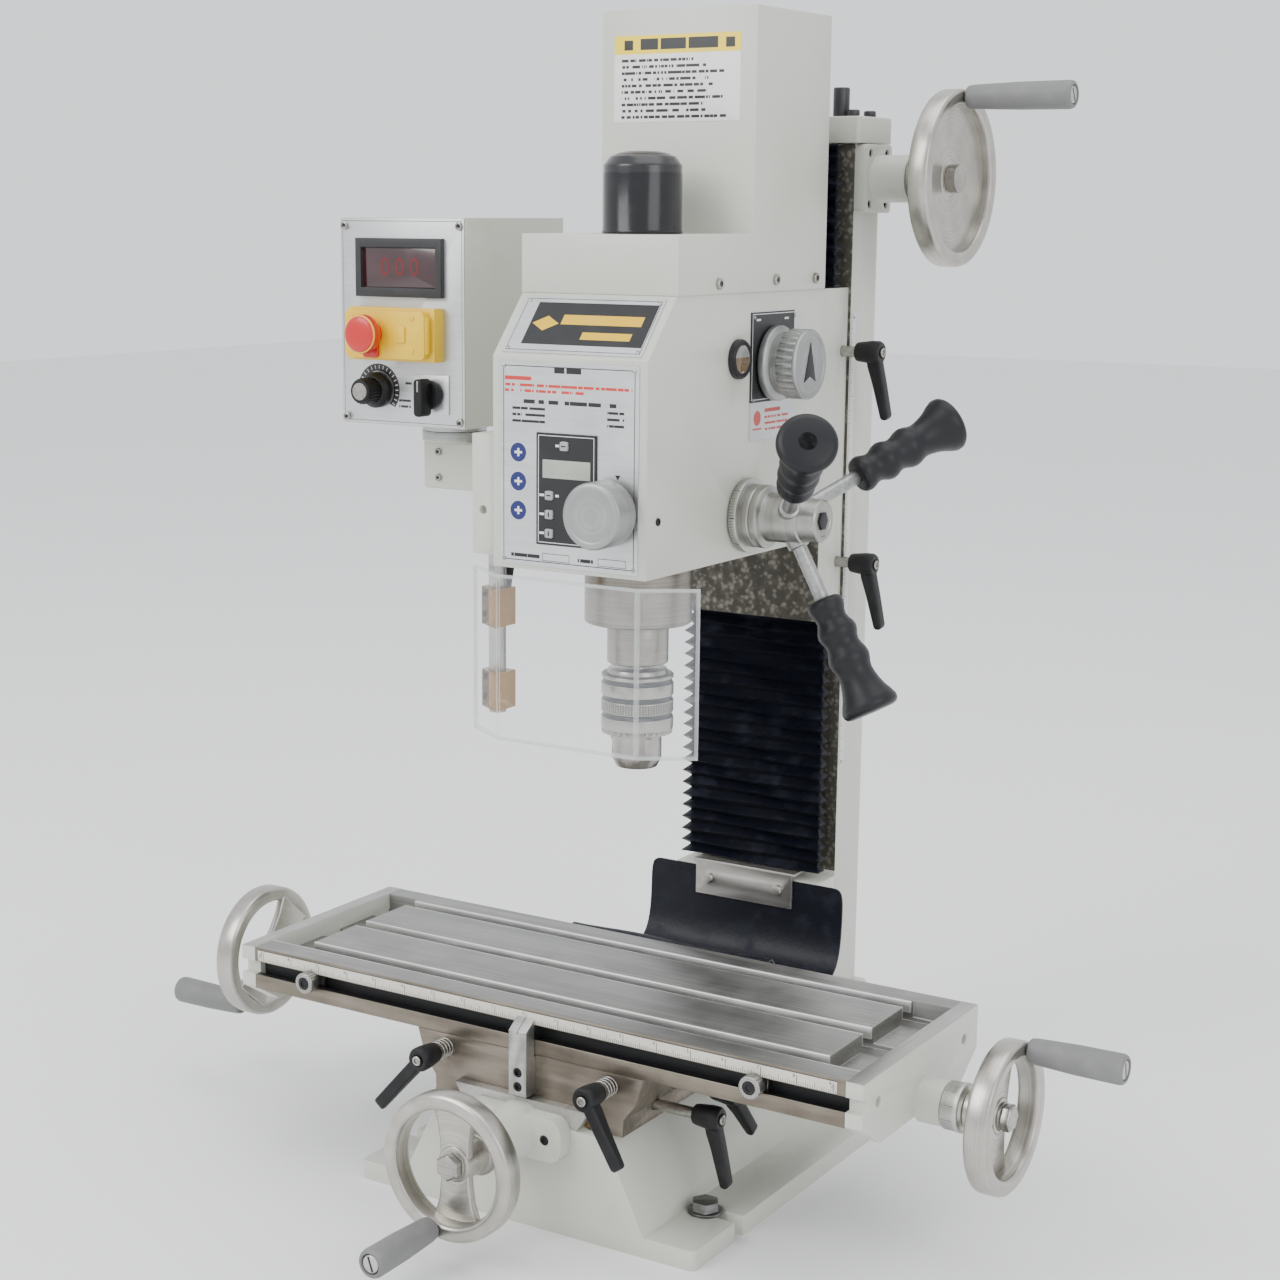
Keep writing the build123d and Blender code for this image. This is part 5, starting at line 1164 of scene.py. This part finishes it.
lever_steel = plain("feed lever steel", ground, (300, 300, 300), (0.42, 0.42, 0.415),
    (0.28, 0.28, 0.275))
grip_black = plain("ribbed grip", plastic, (0.006, 0.006, 0.008), (0.016, 0.016, 0.018), 0.34,
    0.00008, Specular_IOR_Level=0.35)
LEVER_TILT = math.radians(29)
ribs = [(61, 9), (62.2, 11.4), (64.4, 12.6), (67, 12.9), (70, 12), (73, 10.9), (76, 10.6),
    (79, 11.6), (82, 13.2), (85.4, 14), (88.6, 13.4), (91.6, 12.1), (95, 11.6), (98.4, 12.4),
    (102, 13.9), (105.6, 14.5), (109.2, 13.8), (112.6, 12.6), (116, 12.2), (120, 12.7),
    (125, 13.9), (130, 15.6), (135, 18.2), (139, 19.8), (142, 19.6), (144, 18), (145, 15.4)]
for k in range(3):
    turn = math.radians(29 + 120 * k)
    out = Vector((math.sin(LEVER_TILT), math.cos(LEVER_TILT) * math.cos(turn),
        math.cos(LEVER_TILT) * math.sin(turn)))
    place = Matrix.Translation(hub_spot) @ out.to_track_quat("Z", "Y").to_matrix().to_4x4()
    lathe("feed_lever", [(9, 6.9), (10, 7.5), (21, 7.5), (22, 6.9), (22.4, 5), (67, 5)], place,
        lever_steel, "feed_handle", 32, edge=0.0003)
    lathe("feed_grip", ribs, place, grip_black, "feed_handle", 48, edge=0)
    lathe("grip_disc", [(144.6, 6.2), (145, 6), (145, 3)], place, black_steel, "feed_handle", 24,
        edge=0)
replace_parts(flange, "feed_hub")


# ---- Head knobs ----
# The gear selector is a ribbed knob on a flange, with a black pointer on its face, and
# the fine feed knob is a plain grey one with a shallow ring on its front.


def fluted(name, outer, inner, count, depth, place, material, body, edge=0.0003):
    """A disc whose rim has rounded flutes for the fingers."""
    outline = []
    for step in range(count * 4):
        turn = 2 * math.pi * step / (count * 4)
        reach = inner + (outer - inner) * (0.5 + 0.5 * math.cos(count * turn)) ** 0.5
        outline.append((reach * math.cos(turn), reach * math.sin(turn)))
    return slab(name, outline, depth, place, material, body, edge, segments=1)


skin = Surface("selector grey")
knob_spot = pivot("gear_knob_turn")
knob_centre = (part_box("head_casting")[1].x, knob_spot.y, knob_spot.z)
selector_metal = skin.wear(turned_metal(skin, "X", knob_centre, (0.42, 0.425, 0.42),
    (0.31, 0.315, 0.31), 0.34, 500))
knob_place = Matrix.Translation(knob_centre) @ AXES["+X"]
flange = lathe("gear_flange", [(1.5, 25.2), (2.2, 26), (6.2, 26), (7, 25.2), (8.6, 22.4),
    (9, 21.6)], knob_place, selector_metal, "gear_selector", 72, edge=0.0003)
fluted("gear_grip", 24.2, 22.6, 28, 13, knob_place @ lift(14.5), selector_metal, "gear_selector")
lathe("gear_neck", [(8.6, 21.6), (14.6, 21.6)], knob_place, selector_metal, "gear_selector", 56,
    edge=0)
lathe("gear_face", [(27, 24.2), (28.6, 24.2), (29.8, 23.2), (29.8, 20.6), (29.2, 20.1), (29.2, 6)],
    knob_place, selector_metal, "gear_selector", 72, edge=0.0002)
lathe("gear_shaft", [(-21, 5.4), (-20, 5.9), (2, 5.9)], knob_place, selector_metal,
    "gear_selector", 32, edge=0)
slab("gear_fork", rounded(-9, 9, -4, 4, 1.5), 6.6, knob_place @ lift(-20.8), selector_metal,
    "gear_selector", 0.0004)
slab("gear_pointer", [(-15, 0), (12, -8.5), (8, 0), (12, 8.5)], 0.35, knob_place @ lift(29.2),
    black_steel, "gear_selector", 0.00005)
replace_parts(flange, "gear_knob")

skin = Surface("fine feed grey")
feed_spot = pivot("fine_feed_turn")
feed_centre = (feed_spot.x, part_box("head_casting")[0].y, feed_spot.z)
knob_metal = skin.wear(turned_metal(skin, "Y", feed_centre, (0.40, 0.40, 0.395),
    (0.32, 0.32, 0.315), 0.36, 400))
feed_place = Matrix.Translation(feed_centre) @ AXES["-Y"]
disc = lathe("fine_feed_disc", [(5.5, 20.6), (6.2, 21.9), (24.6, 21.9), (26.2, 21.2), (26.9, 19.8),
    (26.9, 17.6), (26.5, 17), (26.5, 5)], feed_place, knob_metal, "fine_feed", 72, edge=0.0003)
lathe("fine_feed_neck", [(3.1, 7.4), (3.6, 7.9), (6, 7.9)], feed_place, knob_metal, "fine_feed",
    40, edge=0)
lathe("fine_feed_shaft", [(-28, 4.6), (-27, 4.9), (4, 4.9)], feed_place, bright_steel, "fine_feed",
    28, edge=0)
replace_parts(disc, "fine_feed_knob")


# ---- Guard and side arms ----
# A painted bracket holds the guard's steel rod, and a painted arm carries the control
# box on a grey disc.  The guard is one bent clear sheet in two amber clamps.

DISC_GREY = ((0.46, 0.47, 0.46), (0.36, 0.37, 0.36), 0.35, 500)
skin = enamel("arm enamel")
swing, swivel = pivot("guard_swing"), pivot("control_box_swivel")
from_rod = apart(skin.x - swing.x, skin.y - swing.y)
from_disc = apart(skin.x - swivel.x, skin.y - swivel.y)
ROD_RADIUS, ROD_TOP = 0.0064, 0.4458
DISC_RADIUS, DISC_LOW = 0.0252, 0.5003
rod_zone = (from_rod < ROD_RADIUS) * (skin.z < ROD_TOP)
disc_zone = (from_disc < DISC_RADIUS) * (skin.z > DISC_LOW)
arm_look = skin.zone(rod_zone, paint(skin),
    ground(skin, (300, 300, 14), (0.50, 0.49, 0.48), (0.34, 0.33, 0.32)))
arm_paint = skin.wear(skin.zone(disc_zone, arm_look, turned_metal(skin, "Z", swivel, *DISC_GREY)))
softened("side_arms", "head", 0.0009, arm_paint)
for z in (458, 515):
    socket_screw("bracket_bolt", -80, -124, z, "-X", 3.4, 2.2, "head", black_steel, 10)
for z in (471, 491):
    socket_screw("arm_bolt", -234, 37, z, "-Y", 2.8, 2.0, "head", bright_steel, 25)

sheet = Surface("guard plastic", Specular_IOR_Level=0.4)
lean = math.tan(math.radians(33))
CLAMP_SIDE, CLAMP_TOP, RIM = -0.060, 0.4215, 0.0022
behind = (sheet.y + sheet.x * lean + (0.143 + 0.055 * lean)) > 0.0039
clamp_zone = behind * (sheet.x < CLAMP_SIDE) * (sheet.z < CLAMP_TOP)
low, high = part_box("guard_shield")
# The sheet's edges and bends are drawn as greyer, more opaque lines, and its pale colour leaves a
# white veil over the whole sheet: painted reflection and sheen on the clear plastic.
rim = joined([sheet.z < low.z + RIM, sheet.z > high.z - RIM, sheet.x < low.x + RIM,
    sheet.x > high.x - RIM, sheet.within(sheet.x.math("ABSOLUTE"), 0.0541, 0.0558)])
scratch = sheet.ramp(sheet.noise(1, 2.0, stretch=(30, 30, 420)), 0.62, 0.72)
amber = (sheet.tint(sheet.noise(60), (0.28, 0.135, 0.015), (0.42, 0.22, 0.03)), 0.22, 0.0, 0.0)
clear_look_painted_sheen = (sheet.tint(rim, (0.84, 0.86, 0.88), (0.62, 0.64, 0.64)), 0.08 + scratch * 0.2, 0.0,
    scratch * 0.00001)
sheet.feed(sheet.shader.inputs["Alpha"], sheet.level(clamp_zone,
    rim * 0.34 + 0.07 + scratch * 0.05, 0.94))
clear_plastic = sheet.wear(sheet.zone(clamp_zone, clear_look_painted_sheen, amber))
softened("guard_shield", "guard", 0.0003, clear_plastic)
for low in (337, 395):
    for rise in (6, 20):
        socket_screw("clamp_screw", -82, -117.5, low + rise, "-X", 2.3, 1.3, "guard", bright_steel,
            12)


# ---- Control box ----
# A painted steel box behind a printed plate: a speed meter, the emergency stop with
# its yellow lid, a speed knob on a scale, and a black selector on a small plate.

STOP_YELLOW = ((0.80, 0.50, 0.006), (0.84, 0.56, 0.02))
skin = enamel("control box enamel")
box_low, box_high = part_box("control_box")
PLATE_BACK, PLATE_FACE = -0.01305, -0.0144
METER_LOW, LID_LOW, LID_HIGH = 0.608, 0.562, 0.605
SELECTOR_TOP, BOX_LOW = 0.5565, 0.5148
KNOB_X, KNOB_Z = -0.252, 0.541
on_plate, proud = skin.y < PLATE_BACK, skin.y < PLATE_FACE
plate_edge = print_border(skin, [skin.x - box_low.x, box_high.x - skin.x, skin.z - 0.515,
    box_high.z - skin.z], 0.0004, 0.0024)
from_knob = apart(skin.x - KNOB_X, skin.z - KNOB_Z)
arc = skin.within(from_knob, 0.0142, 0.0196) * (skin.z + (skin.x - KNOB_X) * 0.5 > 0.536)
arc_tick = skin.within(from_knob, 0.0158,
    0.0184) * ((((skin.z - KNOB_Z).math("ARCTAN2", skin.x - KNOB_X) * 4.6).math("FRACT")) < 0.16)
stamp = joined([words(skin, skin.x, skin.z, left, right, low, 1.8, 560, 0.36) for left, right,
    low in ((-233, -222, 533), (-233, -222, 528.6), (-227, -221, 546))] + [plate_edge])
plate_look = skin.zone(joined([stamp, arc]),
    ground(skin, (14, 420, 420), (0.62, 0.63, 0.63), (0.55, 0.56, 0.56)),
    plastic(skin, (0.015, 0.015, 0.017), (0.04, 0.04, 0.04), 0.35))
plate_look = skin.zone(arc * arc_tick, plate_look, paint(skin, (0.8, 0.8, 0.8), (0.7, 0.7, 0.7)))
box_look = skin.zone(on_plate, paint(skin), plate_look)
box_look = skin.zone(proud * (skin.z > METER_LOW), box_look,
    plastic(skin, (0.012, 0.012, 0.014), (0.035, 0.035, 0.035)))
box_look = skin.zone(proud * skin.within(skin.z, LID_LOW, LID_HIGH), box_look,
    plastic(skin, *STOP_YELLOW, 0.32))
selector_line = print_border(skin, [skin.x + 0.218, -0.186 - skin.x, skin.z - 0.525,
    0.554 - skin.z], 0.0004, 0.001)
box_look = skin.zone(proud * (skin.z < SELECTOR_TOP) * (1 - selector_line), box_look,
    ground(skin, (14, 420, 420), (0.70, 0.71, 0.71), (0.62, 0.63, 0.63)))
box_look = skin.zone(skin.z < BOX_LOW, box_look, turned_metal(skin, "Z", swivel, *DISC_GREY))
softened("control_box", "control_box", 0.0007, skin.wear(box_look))
for x in (-282.4, -176.5):
    for z in (662.6, 519.5):
        socket_screw("panel_screw", x, -14.2, z, "-Y", 3.0, 1.8, "control_box", bright_steel, 18)

meter = Surface("meter glass", Coat_Weight=0.8, Coat_Roughness=0.06)
meter_glass = meter.wear(plastic(meter, (0.03, 0.004, 0.006), (0.055, 0.01, 0.012), 0.1, 0.000005))
slab("meter_window", rounded(-263.7, -195.3, 617.3, 646.7, 1.0), 0.4, at(0, -16.4, 0, "-Y"),
    meter_glass, "control_box", 0.0001)
glow = Surface("meter digits", Emission_Strength=0.12)
led = glow.wear(plastic(glow, (0.10, 0.004, 0.004), (0.14, 0.006, 0.006), 0.4, 0.0))
glow.feed(glow.shader.inputs["Emission Color"],
    glow.tint(glow.noise(90), (0.42, 0.01, 0.01), (0.55, 0.02, 0.02)))
figures("meter_digits", [("0", -243, 632), ("0", -229.5, 632), ("0", -216, 632)], 19,
    at(0, -16.85, 0, "-Y"), led, "control_box")

lid_yellow = plain("stop lid plastic", plastic, *STOP_YELLOW, 0.3, Coat_Weight=0.2,
    Coat_Roughness=0.2)
stop_red = plain("stop button red", plastic, (0.55, 0.008, 0.006), (0.62, 0.02, 0.015), 0.26,
    Coat_Weight=0.3, Coat_Roughness=0.15)
softened("estop_lid", "estop_lid", 0.001, lid_yellow)
stop_place = at(-243, -26.6, 584, "-Y")
lathe("stop_button", [(6.8, 9.4), (13.8, 9.4), (14.4, 13.6), (16, 14.3), (21, 14.3), (23.2, 12.6),
    (24.2, 9.4), (24.5, 4)], stop_place, stop_red, "estop_lid", 56, edge=0.0003)
slab("stop_tab", rounded(-250, -236, 566.4, 579, 2.0), 2.2, at(0, -33.8, 0, "-Y"), stop_red,
    "estop_lid", 0.0007, segments=3)
for x, z in ((-262, 572), (-262, 596), (-206, 572), (-206, 596)):
    lathe("lid_stud", [(0, 2.0), (0.7, 1.9), (1.0, 1.1)], at(x, -33.6, z, "-Y"), lid_yellow,
        "estop_lid", 20, edge=0)
slab("lid_catch", rounded(-222, -212, 578, 590, 1.4), 1.4, at(0, -33.6, 0, "-Y"), lid_yellow,
    "estop_lid", 0.0005)

knob_black = plain("control knob black", plastic, (0.006, 0.006, 0.007), (0.018, 0.018, 0.019),
    0.36, 0.00006, Specular_IOR_Level=0.3)
speed_spot = pivot("speed_knob_turn")
speed_place = at(speed_spot.x / MM, -14.2, speed_spot.z / MM, "-Y")
skirt = lathe("speed_skirt", [(0.6, 12.8), (1.2, 13.4), (5.6, 13.4), (7.4, 11.6), (9, 10)],
    speed_place, knob_black, "speed_knob", 56, edge=0.0003)
fluted("speed_grip", 9.9, 9.0, 22, 12.6, speed_place @ lift(9), knob_black, "speed_knob")
lathe("speed_cap", [(21.4, 9.2), (23, 8.9), (23.8, 8)], speed_place, knob_black, "speed_knob", 40,
    edge=0.0002)
lathe("speed_insert", [(23.7, 6.6), (24, 6.4), (24, 3)], speed_place, bright_steel, "speed_knob",
    32, edge=0)
lathe("speed_shaft", [(-22, 3.6), (-21.6, 3.9), (1, 3.9)], speed_place, bright_steel, "speed_knob",
    24, edge=0)
slab("speed_mark", rounded(-0.6, 0.6, 5, 12.6, 0.3), 0.25, speed_place @ lift(5.4), bright_steel,
    "speed_knob", 0.00005)
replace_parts(skirt, "speed_knob")

turn_spot = pivot("selector_turn")
turn_place = at(turn_spot.x / MM, -14.2, turn_spot.z / MM, "-Y")
disc = lathe("selector_disc", [(2, 10.4), (2.6, 10.9), (6.2, 10.9), (7, 10.1)], turn_place,
    knob_black, "selector", 48, edge=0.0003)
slab("selector_bar", rounded(-4, 4, -15.4, 12.4, 3.2), 12.6, turn_place @ lift(6.2), knob_black,
    "selector", 0.0012, segments=3)
slab("selector_mark", rounded(-0.7, 0.7, 3, 11, 0.3), 0.2, turn_place @ lift(18.7), bright_steel,
    "selector", 0.00005)
lathe("selector_shaft", [(-22, 3.6), (-21.6, 3.9), (3, 3.9)], turn_place, bright_steel, "selector",
    24, edge=0)
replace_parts(disc, "selector_knob")


# ---- Floor, light and camera ----
# A pale floor, a bright even room and three large soft lamps.

floor_surface = Surface("studio floor")
pale_floor = floor_surface.wear((floor_surface.tint(floor_surface.noise(3), (0.86, 0.86, 0.86),
    (0.89, 0.89, 0.89)), 0.6, 0.0, 0.0))
clear()
bpy.ops.mesh.primitive_grid_add(x_subdivisions=8, y_subdivisions=8, size=14, location=(0, 2, 0))
studio_floor = bpy.context.object
studio_floor.name = "studio_floor"
settle(studio_floor, Matrix.Identity(4))
dress(studio_floor, pale_floor, None)


def lamp(name, spot, target, size, power):
    bpy.ops.object.light_add(type="AREA", location=spot)
    light = bpy.context.object
    light.name = name
    light.data.size, light.data.energy = size, power
    light.rotation_euler = (Vector(target) - Vector(spot)).to_track_quat("-Z", "Y").to_euler()


clear()
lamp("key_light", (-1.3, -2.4, 2.3), (0, 0, 0.4), 1.8, 58)
lamp("side_light", (2.6, -1.2, 1.5), (0, 0, 0.4), 1.6, 22)
lamp("top_light", (0.2, 0.2, 3.0), (0, 0, 0.3), 2.2, 30)
room = bpy.data.worlds.new("room")
room.use_nodes = True
room.node_tree.nodes["Background"].inputs["Color"].default_value = (0.95, 0.97, 1.0, 1)
room.node_tree.nodes["Background"].inputs["Strength"].default_value = 1.3
bpy.context.scene.world = room

CAMERA_SPOT, CAMERA_TURN = (0.81841, -1.39958, 0.67315), (78.4, -0.29, 32.84)
bpy.ops.object.camera_add(location=CAMERA_SPOT,
    rotation=[math.radians(angle) for angle in CAMERA_TURN])
camera = bpy.context.object
camera.data.sensor_width, camera.data.lens = 36, 64.625
camera.data.shift_x, camera.data.shift_y = 0.0501, 0.0341
bpy.context.scene.camera = camera
